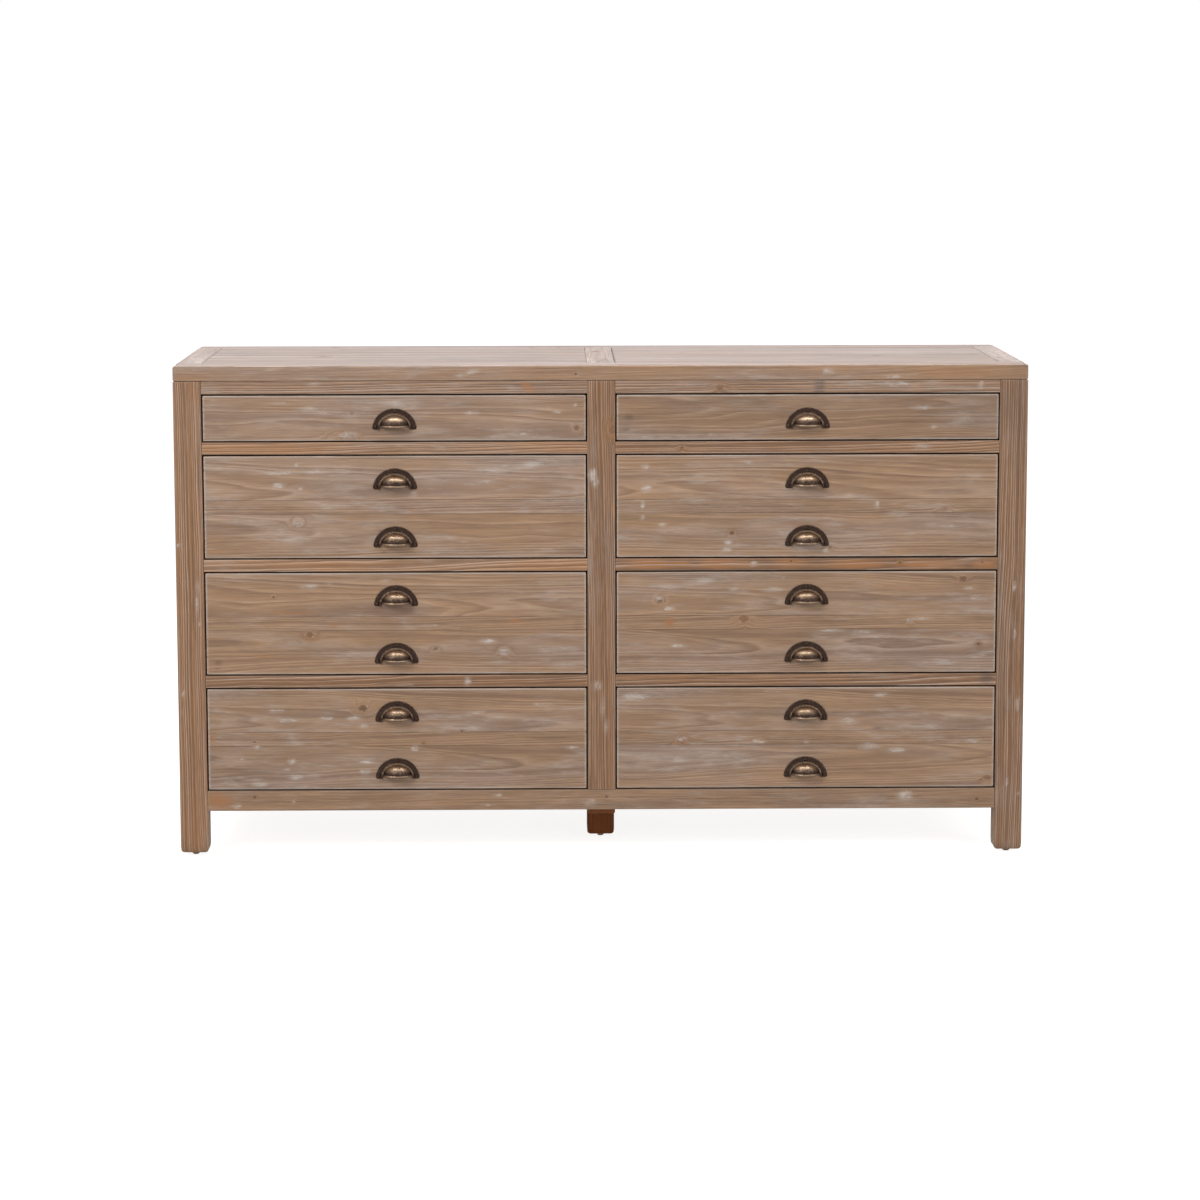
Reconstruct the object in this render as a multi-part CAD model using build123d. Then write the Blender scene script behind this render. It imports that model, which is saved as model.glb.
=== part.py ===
from build123d import *

import os

# A pine apothecary chest: a framed carcass on square legs, a framed top, and eight inset drawers in
# two columns. The three lower drawers of each column are deep, and their fronts are glued up from
# three boards so that each looks like two shallow drawers.
# Millimetres. +Z is up, the drawers face -Y, and the origin is on the floor under the middle of the
# whole chest, pulls included.

# Carcass
chest_width = 1524.0
carcass_depth = 508.0
leg_size = 50.0
leg_foot_round = 8.0
stile_width = 50.0
rail_depth = 50.0
floor_clearance = 83.5
bottom_rail_height = 37.0
drawer_rail_height = 22.0
top_rail_height = 23.0
deep_opening_height = 188.5
shallow_opening_height = 86.0
edge_ease = 1.5

# Joints between the boards
tenon_length = 18.0
panel_groove = 4.0
groove_wall = 2.0
joint_gap = 0.3

# Sides, back, partition and bottom
side_inset = 6.0
side_rail_thickness = 22.0
side_rail_height = 60.0
side_panel_thickness = 12.0
side_board_count = 4
back_inset = 6.0
back_rail_thickness = 22.0
back_rail_height = 60.0
back_panel_thickness = 9.0
partition_thickness = 18.0
bottom_board_thickness = 12.0

# Centre foot and glides
bearer_thickness = 20.0
foot_setback = 150.0
glide_height = 6.0
glide_radius = 9.0
glide_flat_radius = 5.0
glide_nail_radius = 1.5
glide_nail_length = 16.0

# Top
top_thickness = 28.0
top_rail_width = 55.0
top_end_width = 46.0
top_panel_thickness = 20.0
top_tongue_depth = 8.0
top_tongue_thickness = 8.0

# Runners, guides and stops
runner_width = 22.0
guide_lip = 18.0
stop_length = 15.0
stop_height = 14.0

# Drawers
front_gap = 2.5
run_gap = 0.3
front_thickness = 20.0
strip_height = 25.0
seam_depth = 0.8
drawer_side_gap = 3.0
drawer_headroom = 6.0
side_thickness = 12.0
side_housing = 8.0
drawer_back_thickness = 12.0
drawer_back_setback = 10.0
drawer_back_drop = 6.0
back_housing = 4.0
bottom_thickness = 6.0
bottom_height = 10.0
bottom_groove = 5.0

# Cup pulls
pull_width = 79.0
pull_height = 37.5
pull_corner = 4.0
pull_drop = 1.5
flange_thickness = 2.0
flange_side_band = 13.0
flange_top_band = 12.0
step_width = 3.0
step_thickness = 4.0
cup_projection = 23.0
cup_wall = 1.8
lip_height = 5.0
screw_inset = 5.0
screw_head_radius = 2.6
screw_head_height = 1.4
screw_radius = 1.3
screw_length = 14.0

# Planes and levels that follow from the sizes above
half_width = chest_width / 2
leg_inner = half_width - leg_size
half_stile = stile_width / 2
opening_width = leg_inner - half_stile
column_centre = (leg_inner + half_stile) / 2
face_y = -(carcass_depth - cup_projection) / 2
rear_y = face_y + carcass_depth
rail_back_y = face_y + rail_depth
leg_back_y = face_y + leg_size
rear_leg_y = rear_y - leg_size
side_outer = half_width - side_inset
side_inner = side_outer - side_rail_thickness
back_outer_y = rear_y - back_inset
back_inner_y = back_outer_y - back_rail_thickness
tenon_shoulder = panel_groove + groove_wall
panel_reach = panel_groove - joint_gap
runner_rise = front_gap - run_gap
stop_y = rear_leg_y - stop_length
cup_width = pull_width - 2 * flange_side_band
cup_height = pull_height - lip_height - flange_top_band

# Rows are counted from the top drawer down, and stacked up from the bottom rail.
bottom_rail_levels = (floor_clearance, floor_clearance + bottom_rail_height)
opening_heights = {4: deep_opening_height, 3: deep_opening_height, 2: deep_opening_height,
                   1: shallow_opening_height}
openings = {}
rail_under = {4: bottom_rail_levels}
level = bottom_rail_levels[1]
for row, opening_height in opening_heights.items():
    openings[row] = (level, level + opening_height)
    level += opening_height
    if row > 1:
        rail_under[row - 1] = (level, level + drawer_rail_height)
        level += drawer_rail_height
top_rail_levels = (level, level + top_rail_height)
top_underside = top_rail_levels[1]
top_surface = top_underside + top_thickness
bottom_board_top = bottom_rail_levels[1] - drawer_rail_height
bottom_board_levels = (bottom_board_top - bottom_board_thickness, bottom_board_top)
bearer_levels = (bottom_board_levels[0] - bearer_thickness, bottom_board_levels[0])

sides = {"left": -1, "right": 1}
parts = {}


def add(name, *pieces):
    """File the solids of one named node."""
    parts[name] = [solid for piece in pieces for solid in piece.solids()]


def block(x_limits, y_limits, z_limits):
    """A square-edged block between three pairs of limits, given in either order."""
    x0, x1 = sorted(x_limits)
    y0, y1 = sorted(y_limits)
    z0, z1 = sorted(z_limits)
    centre = Pos((x0 + x1) / 2, (y0 + y1) / 2, (z0 + z1) / 2)
    return centre * Box(x1 - x0, y1 - y0, z1 - z0)


def board(x_limits, y_limits, z_limits):
    """A block with all its edges eased."""
    return chamfer(block(x_limits, y_limits, z_limits).edges(), edge_ease)


def grow(limits, amount):
    """A pair of limits moved out at both ends, or in for a negative amount."""
    return (min(limits) - amount, max(limits) + amount)


def on_side(limits, side):
    """X limits of the right half, or the same on the left."""
    return (limits[0] * side, limits[1] * side)


def tenon_limits(axis, limits):
    """Limits of the bar that runs through a rail and stands out as a tenon at both ends."""
    amounts = [-tenon_shoulder, -tenon_shoulder, -tenon_shoulder]
    amounts[axis] = tenon_length
    return [grow(pair, amount) for pair, amount in zip(limits, amounts)]


def tenoned(axis, limits):
    """A board with a tenon at both ends."""
    return board(*limits) + block(*tenon_limits(axis, limits))


def mortise(axis, limits):
    """The bar that cuts the mortises for a tenoned board."""
    return pocket(tenon_limits(axis, limits))


def pocket(limits):
    """The cutter for a piece that is let into another with a joint gap all round."""
    return block(*[grow(pair, joint_gap) for pair in limits])


def cut(piece, cutters):
    for cutter in cutters:
        piece = piece - cutter
    return piece


# Places of the carcass members
front_depth = (face_y, rail_back_y)
between_legs = (leg_back_y, rear_leg_y)
column = (half_stile, leg_inner)
all_across = (-leg_inner, leg_inner)
bottom_rail_place = (all_across, front_depth, bottom_rail_levels)
drawer_rail_places = {}
top_rail_places = {}
side_rail_places = {}
side_panel_places = {}
back_panel_places = []
bottom_board_places = []
upper_side_rail = (top_underside - side_rail_height, top_underside)
lower_side_rail = (floor_clearance, floor_clearance + side_rail_height)
upper_back_rail = (top_underside - back_rail_height, top_underside)
lower_back_rail = (floor_clearance, floor_clearance + back_rail_height)
side_panel_levels = grow((lower_side_rail[1], upper_side_rail[0]), panel_reach)
back_panel_levels = grow((lower_back_rail[1], upper_back_rail[0]), panel_reach)
back_depth = (back_inner_y, back_outer_y)
back_rail_places = [(all_across, back_depth, upper_back_rail), (all_across, back_depth, lower_back_rail)]
back_stile_place = ((-half_stile, half_stile), back_depth, (lower_back_rail[1], upper_back_rail[0]))
for name, side in sides.items():
    own_column = on_side(column, side)
    side_frame = on_side((side_inner, side_outer), side)
    drawer_rail_places[name] = [(own_column, front_depth, rail_under[row]) for row in (1, 2, 3)]
    top_rail_places[name] = (own_column, front_depth, top_rail_levels)
    side_rail_places[name] = [(side_frame, between_legs, upper_side_rail),
                              (side_frame, between_legs, lower_side_rail)]
    side_panel_places[name] = (on_side((side_inner, side_inner + side_panel_thickness), side),
                               grow(between_legs, panel_reach), side_panel_levels)
    back_panel_places.append((grow(own_column, panel_reach),
                              (back_inner_y, back_inner_y + back_panel_thickness), back_panel_levels))
    bottom_board_places.append((on_side((0, side_inner + panel_reach), side),
                                grow((rail_back_y, back_inner_y), panel_reach), bottom_board_levels))

# The stile stands on the bottom rail with one tenon, and the top lies on its upper end.
stile_place = ((-half_stile, half_stile), front_depth, (bottom_rail_levels[1], top_underside))
stile_tenon = [grow(stile_place[0], -tenon_shoulder), grow(stile_place[1], -tenon_shoulder),
               (bottom_rail_levels[1] - tenon_length, bottom_rail_levels[1] + tenon_shoulder)]

# Cutters that several members share
column_rail_mortises = []
side_rail_mortises = []
for name in sides:
    column_rail_mortises += [mortise(0, place) for place in drawer_rail_places[name]]
    column_rail_mortises.append(mortise(0, top_rail_places[name]))
    side_rail_mortises += [mortise(1, place) for place in side_rail_places[name]]
bottom_rail_mortise = mortise(0, bottom_rail_place)
back_rail_mortises = [mortise(0, place) for place in back_rail_places]
back_stile_mortise = mortise(2, back_stile_place)
side_panel_grooves = [pocket(place) for place in side_panel_places.values()]
back_panel_grooves = [pocket(place) for place in back_panel_places]
bottom_board_grooves = [pocket(place) for place in bottom_board_places]


# Glides: a tapered button with a nail, under each leg and under the centre foot
def glide(x, y):
    button = Pos(0, 0, glide_height / 2) * Cone(glide_flat_radius, glide_radius, glide_height)
    nail_centre = glide_height + glide_nail_length / 2
    nail = Pos(0, 0, nail_centre) * Cylinder(glide_nail_radius, glide_nail_length)
    return Pos(x, y, 0) * (button + nail)


def nail_hole(x, y):
    depth = glide_nail_length + joint_gap
    return Pos(x, y, glide_height + depth / 2) * Cylinder(glide_nail_radius + joint_gap, depth)


# Legs and centre foot: square posts with eased corners, rounded over at the foot
def post(x, y, top):
    height = top - glide_height
    plan = chamfer(Rectangle(leg_size, leg_size).vertices(), edge_ease)
    shaft = Pos(x, y, glide_height) * extrude(plan, height)
    outline = Rectangle(leg_size, height)
    outline = fillet(outline.vertices().group_by(Axis.Y)[0], leg_foot_round)
    rounded = extrude(Plane.XZ * outline, leg_size, both=True)
    middle = Pos(x, y, glide_height + height / 2)
    shaft = shaft & (middle * rounded) & (middle * Rot(0, 0, 90) * rounded)
    return shaft - nail_hole(x, y)


leg_x = half_width - leg_size / 2
front_leg_y = face_y + leg_size / 2
rear_leg_middle_y = rear_y - leg_size / 2
foot_y = face_y + foot_setback + leg_size / 2
front_leg_cutters = column_rail_mortises + [bottom_rail_mortise] + side_rail_mortises + side_panel_grooves
rear_leg_cutters = back_rail_mortises + side_rail_mortises + side_panel_grooves + back_panel_grooves
glides = [glide(0, foot_y)]
for name, side in sides.items():
    front_leg = post(leg_x * side, front_leg_y, top_underside)
    rear_leg = post(leg_x * side, rear_leg_middle_y, top_underside)
    add(f"front_{name}_leg", cut(front_leg, front_leg_cutters))
    add(f"rear_{name}_leg", cut(rear_leg, rear_leg_cutters))
    glides += [glide(leg_x * side, front_leg_y), glide(leg_x * side, rear_leg_middle_y)]
add("foot_glides", *glides)
add("centre_foot", post(0, foot_y, bearer_levels[0]))
add("centre_bearer", board((-half_stile, half_stile), (rail_back_y, back_inner_y), bearer_levels))

# Front frame
add("centre_stile", cut(board(*stile_place) + block(*stile_tenon), column_rail_mortises))
add("bottom_front_rail", cut(tenoned(0, bottom_rail_place), [pocket(stile_tenon)] + bottom_board_grooves))
add("front_top_rails", *[tenoned(0, place) for place in top_rail_places.values()])
for name in sides:
    add(f"{name}_drawer_rails", *[tenoned(0, place) for place in drawer_rail_places[name]])

# Sides: two rails and a panel of upright boards
for name in sides:
    rails = [tenoned(1, place) for place in side_rail_places[name]]
    add(f"{name}_side_rails", *[cut(rail, side_panel_grooves + bottom_board_grooves) for rail in rails])
    panel_x, panel_y, panel_z = side_panel_places[name]
    board_width = (panel_y[1] - panel_y[0]) / side_board_count
    panel_boards = []
    for number in range(side_board_count):
        board_y = (panel_y[0] + number * board_width, panel_y[0] + (number + 1) * board_width)
        panel_boards.append(board(panel_x, board_y, panel_z))
    add(f"{name}_side_panel", *panel_boards)

# Back: two rails, a stile and two thin panels
back_rail_cutters = [back_stile_mortise] + back_panel_grooves + bottom_board_grooves
add("back_rails", *[cut(tenoned(0, place), back_rail_cutters) for place in back_rail_places])
add("back_stile", cut(tenoned(2, back_stile_place), back_panel_grooves))
add("back_panels", *[block(*place) for place in back_panel_places])

# Inside: partition between the columns, and bottom boards notched round the legs
add("centre_partition", block((-partition_thickness / 2, partition_thickness / 2),
                              (rail_back_y, back_inner_y), (bottom_board_top, top_underside)))
bottom_boards = []
for name, side in sides.items():
    bottom = block(*bottom_board_places[0 if side < 0 else 1])
    leg_limits = grow(on_side((leg_inner, half_width), side), joint_gap)
    for leg_y in (front_leg_y, rear_leg_middle_y):
        bottom -= block(leg_limits, grow((leg_y, leg_y), leg_size / 2 + joint_gap), bottom_board_levels)
    bottom_boards.append(bottom)
add("bottom_boards", *bottom_boards)

# Top: long rails at front and back, three cross rails, and two panels tongued into them
top_levels = (top_underside, top_surface)
top_inside_y = (face_y + top_rail_width, rear_y - top_rail_width)
end_inner = half_width - top_end_width
cross_places = [((-half_width, -end_inner), top_inside_y, top_levels),
                ((-half_stile, half_stile), top_inside_y, top_levels),
                ((end_inner, half_width), top_inside_y, top_levels)]
tongue_levels = (top_surface - top_tongue_depth - top_tongue_thickness, top_surface - top_tongue_depth)
top_panels = []
tongue_grooves = []
for side in sides.values():
    panel_x = on_side((half_stile, end_inner), side)
    panel_levels = (top_surface - top_panel_thickness, top_surface)
    tongue_limits = (grow(panel_x, panel_reach), grow(top_inside_y, panel_reach), tongue_levels)
    top_panels.append(board(panel_x, top_inside_y, panel_levels) + block(*tongue_limits))
    tongue_grooves.append(pocket(tongue_limits))
cross_mortises = [mortise(1, place) for place in cross_places]
long_rails = [board((-half_width, half_width), (face_y, top_inside_y[0]), top_levels),
              board((-half_width, half_width), (top_inside_y[1], rear_y), top_levels)]
add("top_long_rails", *[cut(rail, cross_mortises + tongue_grooves) for rail in long_rails])
add("top_cross_rails", *[cut(tenoned(1, place), tongue_grooves) for place in cross_places])
add("top_panels", *top_panels)

# Runners carry the drawer sides, guides fill out to the sides and partition, and stops end the travel
runners = []
guides = []
stops = []
runner_y = (rail_back_y, rear_leg_y)
for side in sides.values():
    outer_runner = on_side((leg_inner - runner_width, leg_inner), side)
    inner_runner = on_side((half_stile, half_stile + runner_width), side)
    outer_guide = on_side((leg_inner, side_inner), side)
    inner_guide = on_side((partition_thickness / 2, half_stile), side)
    for row, rail_levels in rail_under.items():
        runner_bottom = bottom_board_top if row == 4 else rail_levels[0]
        runner_top = rail_levels[1] + runner_rise
        for runner_x in (outer_runner, inner_runner):
            runners.append(block(runner_x, runner_y, (runner_bottom, runner_top)))
            stops.append(block(runner_x, (stop_y, rear_leg_y), (runner_top, runner_top + stop_height)))
        guide_levels = (runner_bottom, runner_top + guide_lip)
        guides.append(block(outer_guide, between_legs, guide_levels))
        guides.append(block(inner_guide, (rail_back_y, back_inner_y), guide_levels))
    for runner_x in (outer_runner, inner_runner):
        runners.append(block(runner_x, runner_y, top_rail_levels))
    guides.append(block(outer_guide, between_legs, top_rail_levels))
    guides.append(block(inner_guide, (rail_back_y, back_inner_y), top_rail_levels))
add("drawer_runners", *runners)
add("drawer_guides", *guides)
add("drawer_stops", *stops)


# Cup pull, standing on the drawer face with its origin at the middle of its lower edge
def half_oval(width, height, base):
    """The upper half of an oval, standing on a base line."""
    oval = Ellipse(width / 2, height) - Pos(0, -height) * Rectangle(2 * width, 2 * height)
    return Pos(0, base) * oval


def egg(width, height, projection):
    """A ball stretched to the size of the cup, centred on the lip."""
    ball = scale(Sphere(1), by=(width / 2, projection, height))
    return Pos(0, 0, lip_height) * ball


screw_places = [(0, pull_height - screw_inset),
                (screw_inset - pull_width / 2, screw_inset),
                (pull_width / 2 - screw_inset, screw_inset)]


def rod(radius, x, z, y_limits):
    """A round rod square to the drawer face."""
    length = max(y_limits) - min(y_limits)
    return Pos(x, sum(y_limits) / 2, z) * Rot(90, 0, 0) * Cylinder(radius, length)


def cup_pull():
    flange = half_oval(pull_width, pull_height, 0)
    flange = fillet(flange.vertices().group_by(Axis.Y)[0], pull_corner)
    step = half_oval(cup_width + 2 * step_width, cup_height + step_width, lip_height)
    pull = extrude(Plane.XZ * flange, flange_thickness) + extrude(Plane.XZ * step, step_thickness)
    front_half = block((-pull_width, pull_width), (-2 * cup_projection, 0), (lip_height, 2 * pull_height))
    pull += egg(cup_width, cup_height, cup_projection) & front_half
    pull -= egg(cup_width - 2 * cup_wall, cup_height - cup_wall, cup_projection - cup_wall)
    for x, z in screw_places:
        pull -= rod(screw_radius + joint_gap, x, z, (-2 * flange_thickness, flange_thickness))
    return pull


def pull_screw(x, z):
    head = rod(screw_head_radius, x, z, (-flange_thickness - screw_head_height, -flange_thickness))
    return head + rod(screw_radius, x, z, (-flange_thickness, screw_length - flange_thickness))


def pilot_hole(x, z):
    depth = screw_length - flange_thickness + joint_gap
    return rod(screw_radius + joint_gap, x, z, (-flange_thickness, depth))


# Drawers: sides housed in the front, a back housed in the sides, and a bottom slid into grooves
pull = cup_pull()
for name, side in sides.items():
    centre_x = column_centre * side
    for row, (opening_bottom, opening_top) in openings.items():
        front_x = grow((centre_x, centre_x), opening_width / 2 - front_gap)
        front_z = (opening_bottom + front_gap, opening_top - front_gap)
        middle_z = sum(front_z) / 2
        box_x = grow((centre_x, centre_x), opening_width / 2 - drawer_side_gap)
        inner_x = grow(box_x, -side_thickness)
        side_y = (face_y + front_thickness - side_housing, stop_y - run_gap)
        side_z = (front_z[0], opening_top - drawer_headroom)
        back_rear_y = side_y[1] - drawer_back_setback
        bottom_z = (side_z[0] + bottom_height, side_z[0] + bottom_height + bottom_thickness)

        side_places = [((box_x[0], inner_x[0]), side_y, side_z), ((inner_x[1], box_x[1]), side_y, side_z)]
        back_place = (grow(inner_x, back_housing - joint_gap),
                      (back_rear_y - drawer_back_thickness, back_rear_y),
                      (bottom_z[1] + joint_gap, side_z[1] - drawer_back_drop))
        bottom_place = (grow(inner_x, bottom_groove - joint_gap),
                        (face_y + front_thickness - bottom_groove + joint_gap, back_rear_y), bottom_z)
        bottom_slot = (bottom_place[0], grow(side_y, joint_gap), bottom_z)
        side_cutters = [pocket(back_place), pocket(bottom_slot)]
        drawer_sides = [cut(block(*place), side_cutters) for place in side_places]
        add(f"{name}_drawer_{row}_box", *drawer_sides, block(*back_place), block(*bottom_place))

        front = board(front_x, (face_y, face_y + front_thickness), front_z)
        front = cut(front, [pocket(place) for place in side_places] + [pocket(bottom_place)])
        strip_z = grow((middle_z, middle_z), strip_height / 2)
        if row == 1:
            pull_middles = [middle_z]
        else:
            pull_middles = [(strip_z[1] + front_z[1]) / 2, (front_z[0] + strip_z[0]) / 2]
            for seam in strip_z:
                side_of_vee = seam_depth * 2 ** 0.5
                vee = Rot(45, 0, 0) * Box(opening_width, side_of_vee, side_of_vee)
                front -= Pos(centre_x, face_y, seam) * vee
        pulls = []
        screws = []
        for pull_middle in pull_middles:
            place = Pos(centre_x, face_y, pull_middle - pull_drop - pull_height / 2)
            pulls.append(place * pull)
            for x, z in screw_places:
                screws.append(place * pull_screw(x, z))
                front -= place * pilot_hole(x, z)
        front_boards = [front]
        if row > 1:
            board_levels = [(front_z[0], strip_z[0]), strip_z, (strip_z[1], front_z[1])]
            front_y = (face_y, face_y + front_thickness)
            front_boards = [front & block(front_x, front_y, levels) for levels in board_levels]
        add(f"{name}_drawer_{row}_front", *front_boards)
        add(f"{name}_drawer_{row}_pulls", *pulls)
        add(f"{name}_drawer_{row}_pull_screws", *screws)

os.makedirs("parts", exist_ok=True)
for name, solids in parts.items():
    export_step(Compound(solids), f"parts/{name}.step")
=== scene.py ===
import math

import bpy
import numpy as np
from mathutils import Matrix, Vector


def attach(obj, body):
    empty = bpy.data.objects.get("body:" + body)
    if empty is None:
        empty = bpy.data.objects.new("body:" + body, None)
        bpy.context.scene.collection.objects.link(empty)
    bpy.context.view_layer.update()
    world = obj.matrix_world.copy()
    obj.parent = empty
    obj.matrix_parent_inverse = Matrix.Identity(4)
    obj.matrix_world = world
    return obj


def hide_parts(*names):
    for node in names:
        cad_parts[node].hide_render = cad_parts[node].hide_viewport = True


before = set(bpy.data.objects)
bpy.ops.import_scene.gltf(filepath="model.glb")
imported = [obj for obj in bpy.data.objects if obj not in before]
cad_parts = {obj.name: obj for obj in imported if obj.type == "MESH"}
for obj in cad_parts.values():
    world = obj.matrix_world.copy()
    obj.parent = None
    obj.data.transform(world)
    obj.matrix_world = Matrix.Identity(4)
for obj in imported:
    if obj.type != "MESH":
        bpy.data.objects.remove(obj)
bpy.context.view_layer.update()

# Legs. Four square posts of limed pine, from the glides to the underside of the top.
# Each is one straight-grained stick with its arrises rubbed round by hand and its foot rounded over
# so that it doesn't split when the chest is dragged. Sizes are in millimetres, down to the glides.
front = -242.5
rear = 265.5
half_width = 762.0
leg_size = 50.0
leg_foot = 6.0
leg_foot_round = 8.0
underside_of_top = 861.0
arris = 1.5
tight_arris = 0.15
arris_fade = 2.3
face_skin = 1.5
wear_waves = (230.0, 90.0, 37.0)
knot_reach = 16.0
knots_apart = 15.0
end_spill = 9.0
knot_spill = 2.0
mark_spill = 6.0
both_sides = (("left", -1), ("right", 1))


def ruled(low, high, low_round, high_round, step):
    """Places of the lines across one direction of a board, closer together at its rounded edges."""
    turn = 0.35
    margin = 0.5
    clear = 2.5
    least_flat = 8.0
    first = [low, low + turn * low_round, low + low_round, low + low_round + margin]
    last = [high - high_round - margin, high - high_round, high - turn * high_round, high]
    flat = last[0] - first[3]
    between = []
    if flat > least_flat:
        between = np.linspace(first[3] + clear, last[0] - clear, max(2, round(flat / step)))
    return np.concatenate([first, between, last])


def board(x, y, z, along, across, face=-1, rounds=None, step=(10.0, 5.0), wear=0.35, pith=(0.0, 60.0),
          rings=1.0, tone=(0.0, 0.0, 0.0), painted_gap_shade=0.0, seed=0, knots=(), washes=(), stains_and_shadows=(),
          seams=(), foot_round=0.0):
    """One board between two places each in x, y and z: its mesh, and at each point what its wood is like.

    along and across are the axes of the grain and of the board's width, and face is the end of the
    third axis that shows. pith is where the heart of the tree lay: off the board's middle, and below
    its face. tone is how light, how warm and how limed the board is.
    Knots are (along, across, radius, darkness); washes are (along, across, half length, half height,
    strength) of a patch of lime left on the face. Stains are the same for foxy wood, and below nought for
    dirt, cracks and painted shadow lines. The sides can be darkened by painted shade, so that narrow gaps
    between parts look dark.
    """
    low, high = np.sort(np.array([x, y, z], float)).T
    depth = 3 - along - across
    chance = np.random.default_rng(seed)
    on_board = [[mark for mark in marks if low[along] - end_spill < mark[0] < high[along] + end_spill
                 and low[across] - spill < mark[1] < high[across] + spill]
                for marks, spill in ((knots, knot_spill), (washes, mark_spill), (stains_and_shadows, mark_spill))]
    knots, washes, stains_and_shadows = on_board
    low_round = np.full(3, arris)
    high_round = np.full(3, arris)
    for side in seams:
        (low_round if side < 0 else high_round)[across] = tight_arris
    if rounds is not None:
        low_round, high_round = np.array(np.broadcast_to(rounds, (2, 3)), float)
    steps = np.empty(3)
    steps[along] = step[0]
    steps[across] = step[1]
    steps[depth] = max(step[1], (high - low)[depth] / 6)
    lines = [ruled(low[a], high[a], low_round[a], high_round[a], steps[a]) for a in range(3)]
    if foot_round:
        lines[2] = np.concatenate([low[2] + foot_round * np.array([0, 0.05, 0.16, 0.33, 0.6]),
                                   lines[2][lines[2] > low[2] + foot_round * 0.95]])

    # The skin: the points on the six sides of the block of lines, and the quads between them
    sides = [(axis, end, tuple(end if a == axis else slice(None) for a in range(3)))
             for axis in range(3) for end in (0, -1)]
    shell = np.zeros([len(line) for line in lines], bool)
    for _, _, sheet in sides:
        shell[sheet] = True
    number = np.full(shell.shape, -1)
    number[shell] = np.arange(shell.sum())
    places = np.argwhere(shell)
    points = np.stack([lines[a][places[:, a]] for a in range(3)], 1)
    quads = []
    for axis, end, sheet in sides:
        at = number[sheet]
        quad = np.stack([at[:-1, :-1], at[1:, :-1], at[1:, 1:], at[:-1, 1:]], -1).reshape(-1, 4)
        quads.append(quad[:, ::-1] if (end == 0) != (axis == 1) else quad)

    # The arrises: how near each point is to one, and the points drawn in to the worn round
    to_low = points - low
    to_high = high - points
    for side in seams:
        (to_low if side < 0 else to_high)[:, across] = 1e3
    to_edge = np.sort(np.minimum(to_low, to_high), 1)[:, 1]
    edge = np.exp(-(to_edge / arris_fade) ** 2)
    core = np.clip(points, low + low_round, high - high_round)
    out = points - core
    reach = np.where(out < 0, low_round, high_round)
    share = out / reach
    length = np.maximum(np.linalg.norm(share, axis=1, keepdims=True), 1e-9)
    outward = share / length
    wave = np.zeros(len(points))
    for wavelength in wear_waves:
        turn = chance.uniform(0, 2 * math.pi)
        wave += np.sin(2 * math.pi * points[:, along] / wavelength + turn + points[:, across] * 0.7) / 3
    turning = np.abs(share) > 0.01
    limit = 0.3 * np.where(turning, reach, 1e3).min(1)
    lost = np.where(turning.sum(1) > 1, np.minimum(wear * (0.5 + 0.5 * wave), limit), 0.0)[:, None]
    points = core + (reach - lost) * outward
    if foot_round:
        height = np.clip(points[:, 2] - low[2], 0, foot_round)
        drawn_in = foot_round - np.sqrt(foot_round ** 2 - (foot_round - height) ** 2)
        middle = (low + high) / 2
        for axis in (0, 1):
            half = (high - low)[axis] / 2
            points[:, axis] = middle[axis] + (points[:, axis] - middle[axis]) * (1 - drawn_in / half)

    # The wood: its place in the tree, and the marks near each point
    u, v, w = points[:, along], points[:, across], points[:, depth]
    face_at = low[depth] if face < 0 else high[depth]
    start = chance.uniform(-4000, 4000)
    heart = ((low + high) / 2)[across] + pith[0]
    grain = np.stack([u + start, (v - heart) * rings, (w - face_at + face * pith[1]) * rings], 1) / 1000
    on_face = np.clip(face_skin - np.abs(w - face_at), 0, 1)
    # Boards whose sides carry painted gap shade keep their pale arrises on the face only, so the gaps stay
    # dark.
    if painted_gap_shade:
        edge *= on_face
    wash = np.zeros(len(points))
    for place_u, place_v, half_u, half_v, strength in washes:
        patch = strength * np.exp(-((u - place_u) / half_u) ** 2 - ((v - place_v) / half_v) ** 2)
        wash = np.maximum(wash, patch * on_face)
    stain_and_shadow = np.zeros(len(points))
    for place_u, place_v, half_u, half_v, strength in stains_and_shadows:
        ends = 2 if 2 < half_v < 100 else 4
        patch = strength * np.exp(-np.abs((u - place_u) / half_u) ** ends - ((v - place_v) / half_v) ** 2)
        stain_and_shadow = np.where(np.abs(patch) > np.abs(stain_and_shadow), patch * on_face, stain_and_shadow)
    knot = np.tile([1.0, 1.0, 0.0], (len(points), 1))
    darkness = np.zeros(len(points))
    distances = np.array([np.hypot(u - mark[0], v - mark[1]) for mark in knots])
    for number, (place_u, place_v, radius, dark) in enumerate(knots):
        away = distances[number]
        others = np.delete(distances, number, 0).min(0, initial=1e9)
        near = away <= others
        felt = np.where((away < 5 * radius + knot_reach) & (away < others - knots_apart), radius, 0.0)
        found = np.stack([u - place_u, v - place_v, felt], 1) / 1000
        knot[near] = found[near]
        darkness[near] = dark
    tones = np.tile(np.array(tone, float), (len(points), 1))
    # Painted shade: the sides behind the face are darkened, so that narrow gaps between parts look dark.
    tones[:, 0] -= painted_gap_shade * np.clip(np.abs(w - face_at) - face_skin, 0, 1)
    return {"points": points / 1000, "quads": np.concatenate(quads), "grain": grain, "knot": knot,
            "tone": tones, "edge": edge, "wash": wash, "stain_and_shadow": stain_and_shadow, "darkness": darkness}


def stand_in(mesh, node_name, body):
    """A mesh as the piece that stands for a node of the frame."""
    piece = bpy.data.objects.new(mesh.name, mesh)
    bpy.context.scene.collection.objects.link(piece)
    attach(piece, body)
    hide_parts(node_name)


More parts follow.
